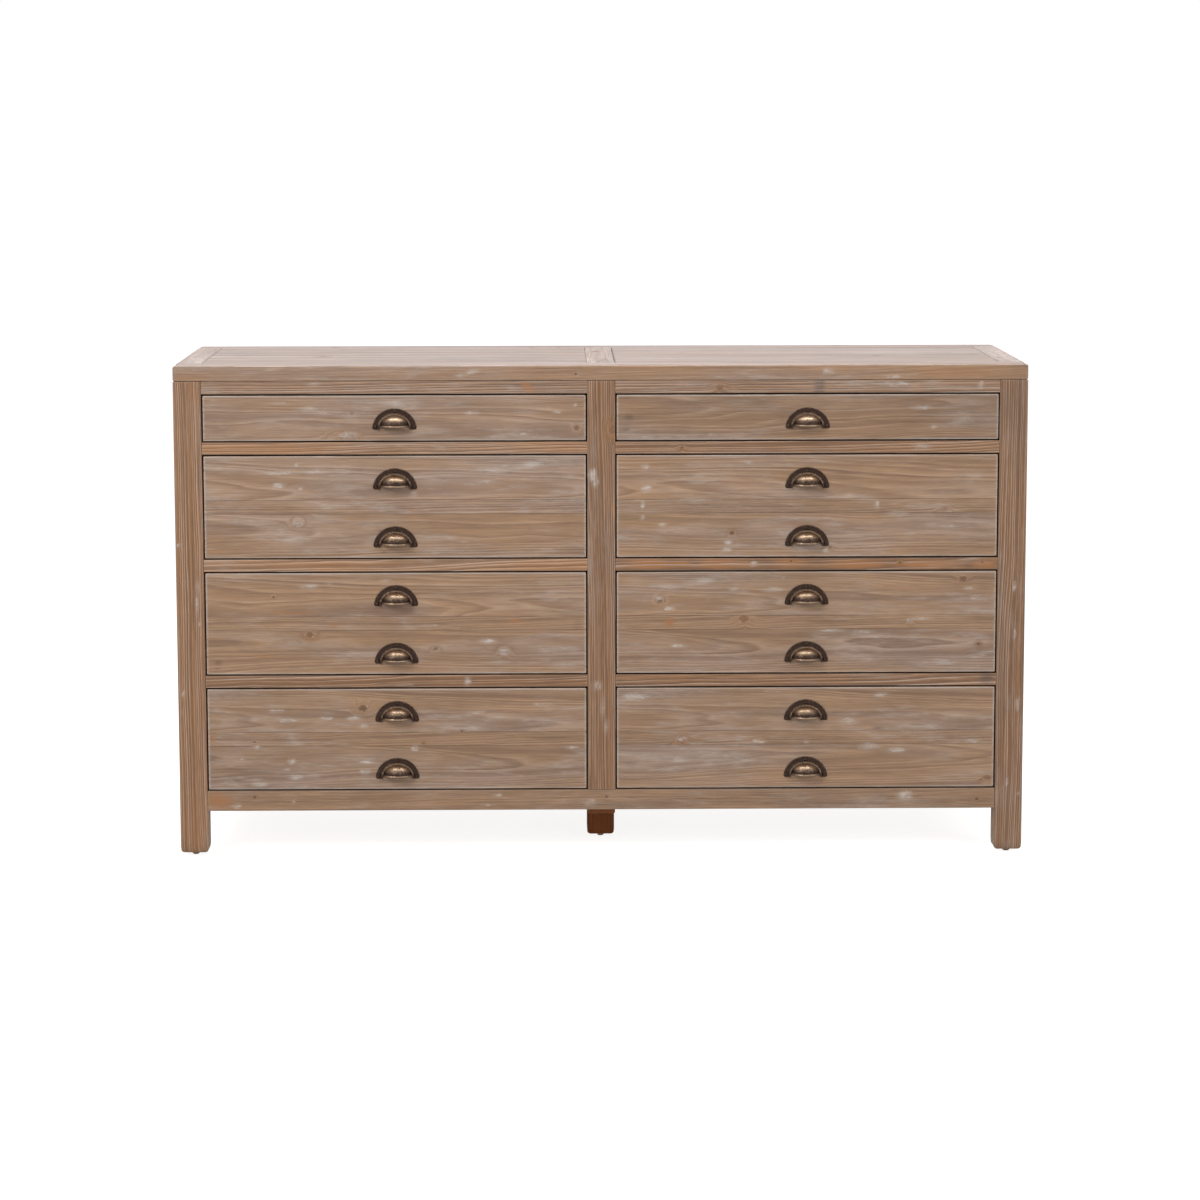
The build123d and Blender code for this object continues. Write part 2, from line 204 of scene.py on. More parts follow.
def joinery(name, boards, material, body="carcass", upper=None):
    """The boards of one node as one piece that stands for it; upper is the finish of faces that look up."""
    points = np.concatenate([made["points"] for made in boards])
    starts = np.cumsum([0] + [len(made["points"]) for made in boards[:-1]])
    quads = np.concatenate([made["quads"] + start for made, start in zip(boards, starts)])
    mesh = bpy.data.meshes.new(name + "_wood")
    mesh.from_pydata(points.tolist(), [], quads.tolist())
    mesh.shade_smooth()
    for kind, field, keys in (("FLOAT_VECTOR", "vector", ("grain", "knot", "tone")),
                              ("FLOAT", "value", ("edge", "wash", "stain_and_shadow", "darkness"))):
        for key in keys:
            values = np.concatenate([made[key] for made in boards]).astype(np.float32)
            mesh.attributes.new(key, kind, "POINT").data.foreach_set(field, values.ravel())
    mesh.materials.append(material)
    if upper:
        mesh.materials.append(upper)
        for face in mesh.polygons:
            face.material_index = int(face.normal.z > 0.6)
    stand_in(mesh, name, body)


def node(tree, kind, inputs=(), **settings):
    """A shader node with its settings; an input is a value or another node's output."""
    made = tree.nodes.new("ShaderNode" + kind)
    for key, value in settings.items():
        setattr(made, key, value)
    for socket, value in dict(inputs).items():
        if isinstance(value, bpy.types.NodeSocket):
            tree.links.new(value, made.inputs[socket])
        else:
            made.inputs[socket].default_value = value
    return made


def tree_of(*values):
    """The node tree that the first output among some values belongs to."""
    return next(value.id_data for value in values if isinstance(value, bpy.types.NodeSocket))


def maths(operation, *values):
    """The outcome of one sum."""
    return node(tree_of(*values), "Math", dict(enumerate(values)), operation=operation).outputs[0]


def times(value, *others):
    """Values multiplied together."""
    for other in others:
        value = maths("MULTIPLY", value, other)
    return value


def plus(value, other, share=1.0):
    """A value with a share of another added."""
    return maths("MULTIPLY_ADD", other, share, value)


def swayed(value, noise, amount):
    """A value moved up and down by noise."""
    return plus(value, maths("SUBTRACT", noise, 0.5), amount)


def most(value, *others):
    """The greatest of some values."""
    for other in others:
        value = maths("MAXIMUM", value, other)
    return value


def rise(value, low, high, bottom=0.0, top=1.0):
    """A soft step from bottom to top as a value goes from low to high."""
    return node(tree_of(value), "MapRange", {0: value, 1: low, 2: high, 3: bottom, 4: top},
                interpolation_type="SMOOTHSTEP").outputs[0]


def mottle(vector, stretch, detail=2.0, roughness=0.5):
    """Noise stretched along three directions."""
    tree = tree_of(vector)
    scaled = node(tree, "VectorMath", {0: vector, 1: stretch}, operation="MULTIPLY").outputs[0]
    return node(tree, "TexNoise", {"Vector": scaled, "Scale": 1.0, "Detail": detail,
                                   "Roughness": roughness}).outputs[0]


def blend(share, a, b, how="MIX"):
    """One colour going over into another."""
    return node(tree_of(share, a, b), "Mix", {0: share, 6: a, 7: b}, data_type="RGBA", blend_type=how,
                clamp_factor=True).outputs[2]


def painted(tree, key, output="Fac"):
    """What the points of a mesh hold under a name."""
    return node(tree, "Attribute", attribute_name=key).outputs[output]


def pine(name, grey, warm, late_wood, ring_strength, lime, streaks, roughness, ring_width=0.0042, taper=0.012,
         wander=0.014, pale_early_wood=0.0, faint_rings=0.15, broad=0.0, pale_arrises=0.0, brushed=1.0,
         clouds=0.0):
    """Brushed pine with lime rubbed into it: rings, streaks, fibres, knots and white patches."""
    material = bpy.data.materials.new(name)
    material.use_nodes = True
    tree = material.node_tree
    shader = tree.nodes["Principled BSDF"].inputs
    grain = painted(tree, "grain", "Vector")
    knot = painted(tree, "knot", "Vector")
    tone = painted(tree, "tone", "Vector")
    knot_along, knot_across, knot_radius = node(tree, "SeparateXYZ", {0: knot}).outputs
    light, warmer, limed = node(tree, "SeparateXYZ", {0: tone}).outputs
    edge, wash, stain_and_shadow, darkness = (painted(tree, key) for key in ("edge", "wash", "stain_and_shadow", "darkness"))

    def figure(along, across, detail, fineness):
        """Noise drawn out along the grain."""
        return mottle(grain, (along, across, across), detail, fineness)

    streak = figure(2.0, 70.0, 5.0, 0.65)
    cloud = figure(2.6, 14.0, 4.0, 0.6)
    drift = figure(2.4, 16.0, 2.0, 0.4)
    brush = figure(9.0, 210.0, 4.0, 0.7)
    lines = figure(4.0, 300.0, 2.0, 0.5)
    comb = figure(22.0, 520.0, 2.0, 0.6)
    fibre = figure(40.0, 1500.0, 2.0, 0.6)
    ragged = figure(240.0, 330.0, 3.0, 0.6)
    patches = figure(7.0, 27.0, 3.0, 0.6)
    blots = figure(62.0, 190.0, 4.0, 0.7)
    haze = figure(11.0, 62.0, 4.0, 0.65)

    # How far a point is from the middle of its knot, in knot radii
    stretched = times(knot_along, 0.75)
    square = maths("ADD", times(stretched, stretched), times(knot_across, knot_across))
    away = maths("DIVIDE", maths("SQRT", square), maths("ADD", knot_radius, 0.00001))
    away = swayed(away, ragged, 1.3)
    push = times(rise(away, 0.6, 4.5, 1.0, 0.0), knot_radius)

    # Growth rings about the heart of the tree, uneven in width and darkness, pushed aside by the knots
    across = node(tree, "VectorMath", {0: grain, 1: (0.0, 1.0, 1.0)}, operation="MULTIPLY").outputs[0]
    ring = node(tree, "VectorMath", {0: across}, operation="LENGTH").outputs["Value"]
    along = node(tree, "SeparateXYZ", {0: grain}).outputs[0]
    for bend, share in ((along, taper), (drift, wander), (cloud, 0.006), (push, 1.3)):
        ring = plus(ring, bend, share)
    years = maths("DIVIDE", ring, ring_width)
    lean_years = node(tree, "TexNoise", {"W": times(years, 0.43), "Scale": 1.0, "Detail": 1.0},
                      noise_dimensions="1D").outputs[0]
    season = maths("FRACT", plus(years, lean_years, 2.2))
    late = times(rise(season, 0.2, 0.82), rise(season, 0.84, 1.0, 1.0, 0.0),
                 rise(lean_years, 0.32, 0.66, faint_rings, 1.0),
                 rise(brush, 0.28, 0.6, 0.25 + 0.5 * faint_rings, 1.0))

    # The bare wood: grey to warm in clouds, darker and lighter along the brush strokes
    colour = blend(maths("ADD", rise(cloud, 0.34, 0.66), warmer), grey, warm)
    shade = swayed(1.0, streak, streaks)
    shade = swayed(shade, brush, 0.8 * brushed)
    shade = swayed(shade, comb, 0.9 * brushed)
    shade = plus(shade, rise(lines, 0.56, 0.66), -0.28 * brushed)
    shade = swayed(shade, fibre, 0.45)
    if broad:
        shade = swayed(shade, figure(1.4, 34.0, 3.0, 0.6), broad)
    shade = maths("ADD", swayed(shade, patches, clouds), light)
    shades = node(tree, "CombineColor", {0: shade, 1: shade, 2: shade}).outputs[0]
    colour = blend(1.0, colour, shades, "MULTIPLY")
    colour = blend(times(late, ring_strength), colour, late_wood)

    # Foxy streaks, and in one dark colour dirt, open cracks and painted shadow lines
    foxed_wood = (0.35, 0.155, 0.06, 1)
    dirt_and_shadow_colour = (0.09, 0.055, 0.04, 1)
    patchy = rise(brush, 0.3, 0.6, 0.6, 1.0)
    uneven = swayed(1.0, blots, 0.7)
    colour = blend(times(rise(times(stain_and_shadow, uneven), 0.1, 0.85), patchy), colour, foxed_wood)
    colour = blend(times(rise(times(stain_and_shadow, -1.0), 0.08, 0.9), patchy, 0.85), colour, dirt_and_shadow_colour)

    # Knots: an eye with rings of its own and a broken bark line, in warmer wood
    knot_wood = (0.29, 0.15, 0.072, 1)
    eye_dark = (0.17, 0.078, 0.036, 1)
    eye_pale = (0.29, 0.145, 0.07, 1)
    eye_black = (0.05, 0.027, 0.018, 1)
    bark_colour = (0.08, 0.042, 0.028, 1)
    colour = blend(rise(away, 1.0, 3.4, 0.4, 0.0), colour, knot_wood)
    eye_rings = rise(maths("PINGPONG", times(away, 2.6), 0.5), 0.1, 0.4)
    eye = blend(darkness, blend(eye_rings, eye_dark, eye_pale), eye_black)
    colour = blend(rise(away, 0.5, 1.3, 0.75, 0.0), colour, eye)
    bark = times(rise(away, 0.7, 1.0), rise(away, 1.0, 1.4, 1.0, 0.0), rise(comb, 0.35, 0.6, 0.0, 0.6))
    colour = blend(bark, colour, bark_colour)

    # Lime: a thin veil in the open grain, patches left on the face, rings round knots and rubbed arrises
    lime_colour = (0.64, 0.575, 0.525, 1)
    veil = times(rise(haze, 0.46, 0.8), rise(cloud, 0.66, 0.36), maths("ADD", limed, lime * 0.6))
    combed = swayed(swayed(wash, blots, 2.0), comb, -1.0)
    patch = times(rise(combed, 0.28, 1.1, 0.0, 0.85), rise(wash, 0.03, 0.5))
    smear = times(rise(swayed(wash, brush, 0.9), 0.05, 1.0, 0.0, 0.4), rise(wash, 0.02, 0.2))
    halo = times(rise(away, 0.95, 1.35), rise(away, 1.5, 2.6, 1.0, 0.0),
                 rise(ragged, 0.5, 0.75, 0.0, 0.5 * lime))
    rubbed = times(edge, rise(brush, 0.3, 0.6, 0.25, 1.0), pale_arrises)
    early = times(rise(season, 0.0, 0.3, 1.0, 0.0), pale_early_wood, rise(streak, 0.35, 0.65),
                  rise(away, 2.0, 5.0))
    white = times(most(veil, patch, smear, rubbed, halo, early), rise(fibre, 0.3, 0.65, 0.62, 0.95))
    colour = blend(white, colour, lime_colour)

    height = plus(plus(times(late, 0.8), comb, 0.5), fibre, 0.3)
    bump = node(tree, "Bump", {"Height": height, "Strength": 0.5, "Distance": 0.0006})
    tree.links.new(colour, shader["Base Color"])
    tree.links.new(rise(brush, 0.2, 0.8, roughness - 0.07, roughness + 0.09), shader["Roughness"])
    tree.links.new(bump.outputs[0], shader["Normal"])
    shader["Specular IOR Level"].default_value = 0.4
    return material


frame_pine = pine("limed_pine_frame", grey=(0.295, 0.19, 0.127, 1), warm=(0.33, 0.172, 0.084, 1),
                  late_wood=(0.14, 0.073, 0.04, 1), ring_strength=0.95, lime=0.5, streaks=0.5, roughness=0.62,
                  ring_width=0.0037, pale_early_wood=0.75, faint_rings=0.65, pale_arrises=0.12, clouds=0.25)
leg_washes = {
    "left": [(494, -723, 14, 4, 0.9), (462, -725, 22, 4, 0.9), (427, -722, 9, 4, 0.7),
             (299, -753, 9, 4, 0.9), (265, -756, 8, 3, 0.7), (568, -756, 6, 5, 0.7)],
    "right": [(489, 744, 11, 4, 0.9), (401, 744, 13, 4, 0.9), (275, 751, 17, 4, 0.9), (131, 734, 9, 4, 0.9),
              (108, 755, 4, 4, 0.8)]}
leg_stains = {"left": [(50, -737, 90, 40, 0.4), (820, -725, 70, 14, 0.3)],
              "right": [(815, 737, 80, 40, -0.42)]}
leg_tones = {"left": (0.02, 0.6, 0.0), "right": (-0.09, 0.5, 0.0)}
for name, side in both_sides:
    for place, face, leg_y in (("front", -1, (front, front + leg_size)),
                               ("rear", 1, (rear - leg_size, rear))):
        leg = board((side * (half_width - leg_size), side * half_width), leg_y, (leg_foot, underside_of_top),
                    along=2, across=0, face=face, step=(9.0, 4.5), wear=0.5, pith=(side * 70, 34), rings=0.9,
                    tone=leg_tones[name], seed=11 + side + len(place), foot_round=leg_foot_round,
                    washes=leg_washes[name], stains_and_shadows=leg_stains[name])
        joinery(f"{place}_{name}_leg", [leg], frame_pine)

# Front frame. The stile, the rails between the drawers and the rails under the top are tenoned into
# each other and into the legs; the bottom rail runs through under the stile.
# Offcuts of different boards were used, so they differ in colour, figure, knots and lime.
half_stile = 25.0
leg_inside = half_width - leg_size
rail_back = front + 50.0
front_frame = (front, rail_back)
stile_width = (-half_stile, half_stile)
leg_to_leg = (-leg_inside, leg_inside)
column = (half_stile, leg_inside)
bottom_rail = (83.5, 120.5)
drawer_rails = ((730.0, 752.0), (519.5, 541.5), (309.0, 331.0))
top_rail = (838.0, 861.0)

stile = board(stile_width, front_frame, (bottom_rail[1], underside_of_top), along=2, across=0,
              step=(9.0, 4.5), pith=(-66, 30), rings=0.85, tone=(-0.1, 0.55, 0.0), seed=21,
              painted_gap_shade=0.7, rounds=0.9, knots=[(773, 19, 5, 0.2)],
              stains_and_shadows=[(770, 20, 16, 6, 1.0), (630, 22, 18, 4, 0.8)],
              washes=[(692, -16, 15, 9, 1.0), (680, -10, 14, 7, 0.9), (311, -8, 9, 10, 0.9),
                      (272, 2, 26, 5, 0.75), (235, 8, 14, 5, 0.8)])
joinery("centre_stile", [stile], frame_pine)

quiet_pine = pine("limed_pine_rails", grey=(0.31, 0.212, 0.155, 1), warm=(0.32, 0.19, 0.108, 1),
                  late_wood=(0.185, 0.108, 0.068, 1), ring_strength=0.5, lime=0.7, streaks=0.6, roughness=0.6,
                  pale_early_wood=0.15, pale_arrises=0.15, brushed=0.8, clouds=0.6)
rail = board(leg_to_leg, front_frame, bottom_rail, along=0, across=2, pith=(46, 40), tone=(-0.06, 0.5, 0.0),
             seed=31, stains_and_shadows=[(-692, 103, 30, 16, 0.8)],
             knots=[(-627, 109, 2.1, 1), (9, 107, 2.1, 1), (680, 100, 2.1, 1)],
             washes=[(-661, 93, 10, 6, 0.9), (-555, 100, 5, 5, 0.8), (-462, 113, 38, 4, 0.4),
                     (-189, 110, 10, 5, 0.75), (-208, 93, 16, 4, 0.6), (-22, 97, 15, 11, 0.6),
                     (352, 109, 51, 5, 0.5), (549, 106, 16, 13, 0.9), (180, 112, 40, 5, 0.45),
                     (560, 96, 30, 5, 0.5)])
joinery("bottom_front_rail", [rail], quiet_pine)

rail_knots = [(144, 741, 2.5, 0.6), (341, 536, 1.5, 0.9), (536, 533, 1.5, 0.9), (684, 533, 1.7, 0.7),
              (211, 849, 4, 0.5)]
rail_washes = [
    (-511, 856, 16, 5, 0.7), (520, 854, 35, 6, 0.85), (-694, 842, 19, 3, 0.7), (-331, 848, 3, 7, 0.5),
    (677, 852, 5, 9, 0.85), (574, 742, 19, 6, 0.75), (274, 531, 8, 6, 0.95), (-354, 314, 19, 4, 0.7),
    (-240, 320, 6, 11, 1.0)]
rail_stains = [
    (-134, 853, 9, 8, 1.0), (-126, 844, 9, 8, 1.0), (211, 849, 6, 7, 0.7), (562, 848, 16, 9, 0.6),
    (-562, 533, 96, 7, 0.5), (-352, 535, 64, 6, 0.35), (-116, 531, 51, 6, 0.5), (86, 532, 45, 9, 1.2),
    (139, 532, 26, 5, 1.0), (212, 532, 36, 9, 1.2), (256, 531, 20, 5, 1.0), (339, 532, 32, 9, 1.0),
    (455, 530, 60, 8, 1.0), (587, 530, 64, 9, 0.9), (687, 529, 24, 9, 1.0), (389, 849, 9, 30, -0.9),
    (695, 322, 15, 13, -1.0)]
rail_tones = {"left": ((0.3, 0.25, 0.1), (0.45, 0.4, 0.0), (-0.08, 1.1, -0.3)),
              "right": ((0.02, 0.3, 0.0), (-0.14, 0.7, -0.1), (-0.02, 0.6, 0.0))}
rail_piths = ((34, 26), (24, 46), (28, 40))
# Painted shadow under each rail over the drawers: half length, half height and strength of a dark stain.
rail_shadow_line = (420, 1.2, -0.8)


def on_side(side, span):
    """A span of x on the right, or its mirror image on the left."""
    return sorted(side * place for place in span)


def column_rail(side, levels, **wood):
    """A rail over one column of drawers, with a painted shadow along its lower arris."""
    width = on_side(side, column)
    # Painted shadow: a dark stain along the lower arris, where the gap below the rail is dark.
    painted_shadow = (sum(width) / 2, levels[0], *rail_shadow_line)
    return board(width, front_frame, levels, along=0, across=2, rings=0.9, painted_gap_shade=0.7, rounds=0.9,
                 knots=rail_knots, washes=rail_washes, stains_and_shadows=rail_stains + [painted_shadow], **wood)


top_rails = []
for name, side in both_sides:
    rails = [column_rail(side, levels, pith=rail_piths[number], tone=rail_tones[name][number],
                         seed=41 + 10 * number + side)
             for number, levels in enumerate(drawer_rails)]
    joinery(f"{name}_drawer_rails", rails, frame_pine)
    top_rails.append(column_rail(side, top_rail, pith=(30, 20), tone=(0.1, 0.05, 0.25), seed=71 + side))
joinery("front_top_rails", top_rails, frame_pine)

# Sides. Two rails tenoned into the legs hold a panel of four upright boards in grooves.
# The boards are thinner than the rails and stand back from them, with an eased joint between boards.
side_rail = (734.0, 756.0)
side_panel = (734.0, 746.0)
side_boards = 4
between_legs = (front + leg_size, rear - leg_size)
lower_rail = (83.5, 143.5)
upper_rail = (801.0, 861.0)
panel_levels = (lower_rail[1], upper_rail[0])


def stray_marks(seed, u_limits, v_limits, knot_count, wash_count):
    """Knots and patches of lime strewn over a board by chance."""
    chance = np.random.default_rng(seed)
    spread = np.linspace(*u_limits, knot_count + 1)
    knots = [(start + chance.uniform(0.25, 0.75) * (spread[1] - spread[0]), chance.uniform(*v_limits),
              chance.uniform(2.5, 6), chance.uniform(0, 0.8)) for start in spread[:-1]]
    washes = [(chance.uniform(*u_limits), chance.uniform(*v_limits), chance.uniform(10, 55),
               chance.uniform(3, 7), chance.uniform(0.55, 1.0)) for _ in range(wash_count)]
    return {"knots": knots, "washes": washes}


def widths(span, count):
    """A span shared out among boards of one width."""
    edges = np.linspace(*span, count + 1)
    return zip(edges[:-1], edges[1:])


for name, side in both_sides:
    rails = [board(on_side(side, side_rail), between_legs, levels, along=1, across=2, face=side,
                   pith=(38, 26), tone=(0.0, 0.2 + 0.1 * number, 0.0), seed=81 + 2 * number + side,
                   **stray_marks(81 + number, between_legs, levels, 2, 3))
             for number, levels in enumerate((upper_rail, lower_rail))]
    joinery(f"{name}_side_rails", rails, frame_pine)
    uprights = [board(on_side(side, side_panel), width, panel_levels, along=2, across=1, face=side,
                      pith=(30 - 20 * number, 45), tone=(0.04 * (number % 3) - 0.03, 0.1, 0.1),
                      seed=91 + 5 * number + side,
                      **stray_marks(97 + 7 * number + side, panel_levels, width, 2, 4))
                for number, width in enumerate(widths(between_legs, side_boards))]
    joinery(f"{name}_side_panel", uprights, quiet_pine)

# Back. Two rails and a middle stile, tenoned together, hold two panels of thin matched boards.
# It stands against a wall, so the panels are plain unlimed pine and only the frame has the finish.
back_frame = (237.5, 259.5)
back_panel = (237.5, 246.5)
back_boards = 5
rails = [board(leg_to_leg, back_frame, levels, along=0, across=2, face=1, pith=(-44, 30),
               tone=(0.0, 0.2, 0.0), seed=121 + number,
               **stray_marks(123 + number, (-700, 700), levels, 4, 5))
         for number, levels in enumerate((upper_rail, lower_rail))]
joinery("back_rails", rails, frame_pine)
stile = board(stile_width, back_frame, panel_levels, along=2, across=0, face=1, pith=(40, 40), seed=131)
joinery("back_stile", [stile], frame_pine)

plain_pine = pine("plain_pine", grey=(0.46, 0.30, 0.185, 1), warm=(0.49, 0.305, 0.165, 1),
                  late_wood=(0.33, 0.17, 0.08, 1), ring_strength=0.65, lime=0.0, streaks=0.3, roughness=0.68,
                  faint_rings=0.4, brushed=0.35)
panels = [board(on_side(side, column), back_panel, levels, along=0, across=2, face=1, rounds=1.1,
                step=(14.0, 8.0), pith=(24 * side - 12 * number, 70),
                tone=(0.05 * ((3 * number + side) % 4) - 0.06, 0.2 * (number % 2), 0.0),
                seed=141 + side + 5 * number,
                **stray_marks(145 + side + 7 * number, on_side(side, column), levels, 2, 0))
          for side in (-1, 1) for number, levels in enumerate(widths(panel_levels, back_boards))]
joinery("back_panels", panels, plain_pine)

# Inside. A partition parts the two columns; bottom boards, notched round the legs, close the chest from
# below; runners carry the drawer sides, guides keep them straight and stops end their travel.
# All of it is sawn pine with no finish, glued and pinned to the frame.
half_partition = 9.0
bottom_board = (86.5, 98.5)
bottom_tongue = 3.7
bottom_gap = 0.2
notch_gap = 0.3
runner_width = 22.0
runner_proud = 2.2
guide_lip = 18.0
stop_depth = 15.0
stop_height = 14.0
sawn = {"rounds": 0.6, "step": (26.0, 14.0)}
partition = board((-half_partition, half_partition), (rail_back, back_frame[0]),
                  (bottom_board[1], underside_of_top), along=1, across=2, pith=(90, 130), seed=151, **sawn)
joinery("centre_partition", [partition], plain_pine)
bottoms = []
notch = leg_inside - notch_gap
for side in (-1, 1):
    bottoms.append(board(on_side(side, (bottom_gap, notch)),
                         (rail_back - bottom_tongue, back_frame[0] + bottom_tongue),
                         bottom_board, along=0, across=1, pith=(50, 90), seed=161 + side, **sawn))
    bottoms.append(board(on_side(side, (notch, side_rail[0] + bottom_tongue)),
                         (between_legs[0] + notch_gap, between_legs[1] - notch_gap),
                         bottom_board, along=1, across=0, pith=(20, 70), seed=165 + side, **sawn))
joinery("bottom_boards", bottoms, plain_pine)

runner_end = rear - leg_size
runner_levels = [(bottom, top + runner_proud) for bottom, top in drawer_rails]
runner_levels += [(bottom_board[1], bottom_rail[1] + runner_proud), top_rail]
runner_places = (((leg_inside - runner_width, leg_inside), (leg_inside, side_rail[0]), runner_end),
                 ((half_stile, half_stile + runner_width), (half_partition, half_stile), back_frame[0]))
runners = []
guides = []
stops = []
for side in (-1, 1):
    for number, (bottom, top) in enumerate(runner_levels):
        carries_drawer = top != top_rail[1]
        lip = guide_lip if carries_drawer else 0.0
        seed = 210 + 20 * number + 3 * side
        for runner_x, guide_x, guide_end in runner_places:
            runners.append(board(on_side(side, runner_x), (rail_back, runner_end), (bottom, top), along=1,
                                 across=0, face=1, pith=(15, 40), seed=seed, **sawn))
            if carries_drawer:
                stops.append(board(on_side(side, runner_x), (runner_end - stop_depth, runner_end),
                                   (top, top + stop_height), along=0, across=2, pith=(9, 25),
                                   seed=seed + 1, **sawn))
            guides.append(board(on_side(side, guide_x), (rail_back, guide_end), (bottom, top + lip), along=1,
                                across=2, face=-side, pith=(12, 35), seed=seed + 2, **sawn))
joinery("drawer_runners", runners, plain_pine)
joinery("drawer_guides", guides, plain_pine)
joinery("drawer_stops", stops, plain_pine)

# Centre foot. A short post under the middle of the chest, set back out of sight, takes the weight of the
# long bottom. It hangs from a bearer under the bottom boards and is stained dark.
bearer_levels = (66.5, 86.5)
foot_width = (-25.0, 25.0)
foot_depth = (-92.5, -42.5)
stained_pine = pine("stained_pine", grey=(0.29, 0.104, 0.037, 1), warm=(0.31, 0.108, 0.035, 1),
                    late_wood=(0.14, 0.052, 0.02, 1), ring_strength=0.5, lime=0.0, streaks=0.4,
                    roughness=0.55)
stained_pine.node_tree.nodes["Principled BSDF"].inputs["Specular IOR Level"].default_value = 0.12
bearer = board(stile_width, (rail_back, back_frame[0]), bearer_levels, along=1, across=0, pith=(10, 50),
               seed=301)
joinery("centre_bearer", [bearer], stained_pine)
foot = board(foot_width, foot_depth, (leg_foot, bearer_levels[0]), along=2, across=0, step=(7.0, 4.5),
             wear=0.5, pith=(50, 40), seed=311, foot_round=leg_foot_round)
joinery("centre_foot", [foot], stained_pine)

# Top. Long rails at front and back run the whole width; three cross rails are tenoned between them, and two
# panels lie flush in the frame on tongues. It is the most handled surface, rubbed smooth, and the faces that
# look up are given a paler finish than the rest.
top_levels = (861.0, 889.0)
top_rail_width = 55.0
top_end_width = 46.0
panel_underside = 869.0
panel_gap = 0.6
open_joint = (2.5, 900, -0.9)
worn = 3.5
joint = 0.4
corner = 7.0
front_rounds = ((corner, worn, arris), (corner, joint, worn))
back_rounds = ((corner, joint, arris), (corner, worn, worn))
inner_rounds = ((joint, joint, arris), (joint, joint, joint))
cross_rounds = (((worn, joint, arris), (joint, joint, worn)), inner_rounds,
                ((joint, joint, arris), (worn, joint, worn)))
pale_top_pine = pine("limed_pine_top", grey=(0.415, 0.333, 0.305, 1), warm=(0.405, 0.308, 0.265, 1),
                   late_wood=(0.22, 0.15, 0.115, 1), ring_strength=0.6, lime=0.5, streaks=0.6, roughness=0.52,
                   broad=1.3, pale_arrises=0.2)
edge_washes = [(-227, 879, 13, 5, 0.9), (-336, 873, 13, 5, 0.6), (-248, 870, 13, 5, 0.8),
               (-44, 872, 6, 6, 0.75), (405, 876, 15, 9, 0.8), (522, 868, 32, 4, 0.85),
               (556, 870, 13, 4, 0.6)]
edge_stains = [(-715, 872, 70, 12, 0.4), (640, 876, 90, 9, 0.45), (745, 876, 26, 16, -0.35),
               (-470, 874, 60, 6, 0.25)]
whole_width = (-half_width, half_width)
middle = (front + top_rail_width, rear - top_rail_width)
front_rail = board(whole_width, (front, middle[0]), top_levels, along=0, across=2, wear=0.6, pith=(50, 60),
                   tone=(0.08, 0.1, 0.0), seed=321, rounds=front_rounds, knots=[(-45, 873, 1.6, 1)],
                   washes=edge_washes, stains_and_shadows=edge_stains)
back_rail = board(whole_width, (middle[1], rear), top_levels, along=0, across=1, face=1, wear=0.6,
                  pith=(20, 60), seed=323, rounds=back_rounds,
                  **stray_marks(325, (-740, 740), (215, 260), 3, 4))
joinery("top_long_rails", [front_rail, back_rail], quiet_pine, upper=pale_top_pine)
top_end = (half_width - top_end_width, half_width)
crosses = [board(width, middle, top_levels, along=1, across=0, face=1, wear=0.6, pith=(26 - 20 * number, 40),
                 tone=(0.13, -0.2, 0.7), seed=331 + number, rounds=cross_rounds[number],
                 **stray_marks(335 + number, middle, width, 1, 3))
           for number, width in enumerate((on_side(-1, top_end), stile_width, top_end))]
joinery("top_cross_rails", crosses, quiet_pine, upper=pale_top_pine)
panels = []
for side in (-1, 1):
    width = on_side(side, (half_stile + panel_gap, top_end[0]))
    dark_ends = width if side > 0 else width[:1]
    panels.append(board(width, middle, (panel_underside, top_levels[1]), along=0, across=1, face=1,
                        step=(10.0, 7.0), pith=(30 * side, 80), seed=341 + side, tone=(0.0, 0.0, 0.1),
                        rounds=inner_rounds, stains_and_shadows=[(x, 0, *open_joint) for x in dark_ends],
                        **stray_marks(345 + side, width, middle, 2, 9)))
joinery("top_panels", panels, pale_top_pine)

# Drawer fronts. The two top drawers have a front of one board; each of the six deep ones is glued up from an
# upper board, a narrow strip and a lower board, so that it passes for two. The faces are brushed, limed and
# sanded back, which leaves the arrises pale, and small knots and nail holes filled or ringed with lime.
front_thickness = 20.0
drawer_sides = (27.5, 709.5)
drawer_levels = {1: (754.5, 835.5), 2: (544.0, 727.5), 3: (333.5, 517.0), 4: (123.0, 306.5)}
strip_height = 25.0
glue_line = (420, 0.5, -0.75)
crack_half_height = 0.5
crack_strength = -0.9
front_pine = pine("limed_pine_fronts", grey=(0.352, 0.25, 0.193, 1), warm=(0.35, 0.212, 0.122, 1),
                  late_wood=(0.185, 0.108, 0.068, 1), ring_strength=0.85, lime=0.9, streaks=0.55,
                  roughness=0.6, wander=0.022, pale_early_wood=0.2, faint_rings=0.3, pale_arrises=0.85,
                  brushed=0.65, clouds=0.7)
front_knots = [
    (-452, 757, 9, 0.1), (-44, 776, 3, 0.2), (-444, 803, 1.5, 1), (-543, 606, 4, 0.3), (234, 587, 3, 0.8),
    (-524, 405, 4, 0.3), (-175, 374, 4, 0.5), (-298, 379, 3, 0.5), (105, 466, 3.5, 1.0), (256, 432, 5, 0.1),
    (-430, 271, 5, 0.8), (699, 140, 4, 0.2), (-588, 474, 1.5, 1), (650, 503, 4, 0.6), (679, 385, 2, 0.8),
    (-626, 210, 1.5, 1), (144, 211, 5, 0.1), (614, 630, 4, 0.1), (556, 428, 3, 0.2), (-252, 229, 1.6, 1),
    (-321, 207, 2, 0.2), (409, 562, 3, 0.5)]
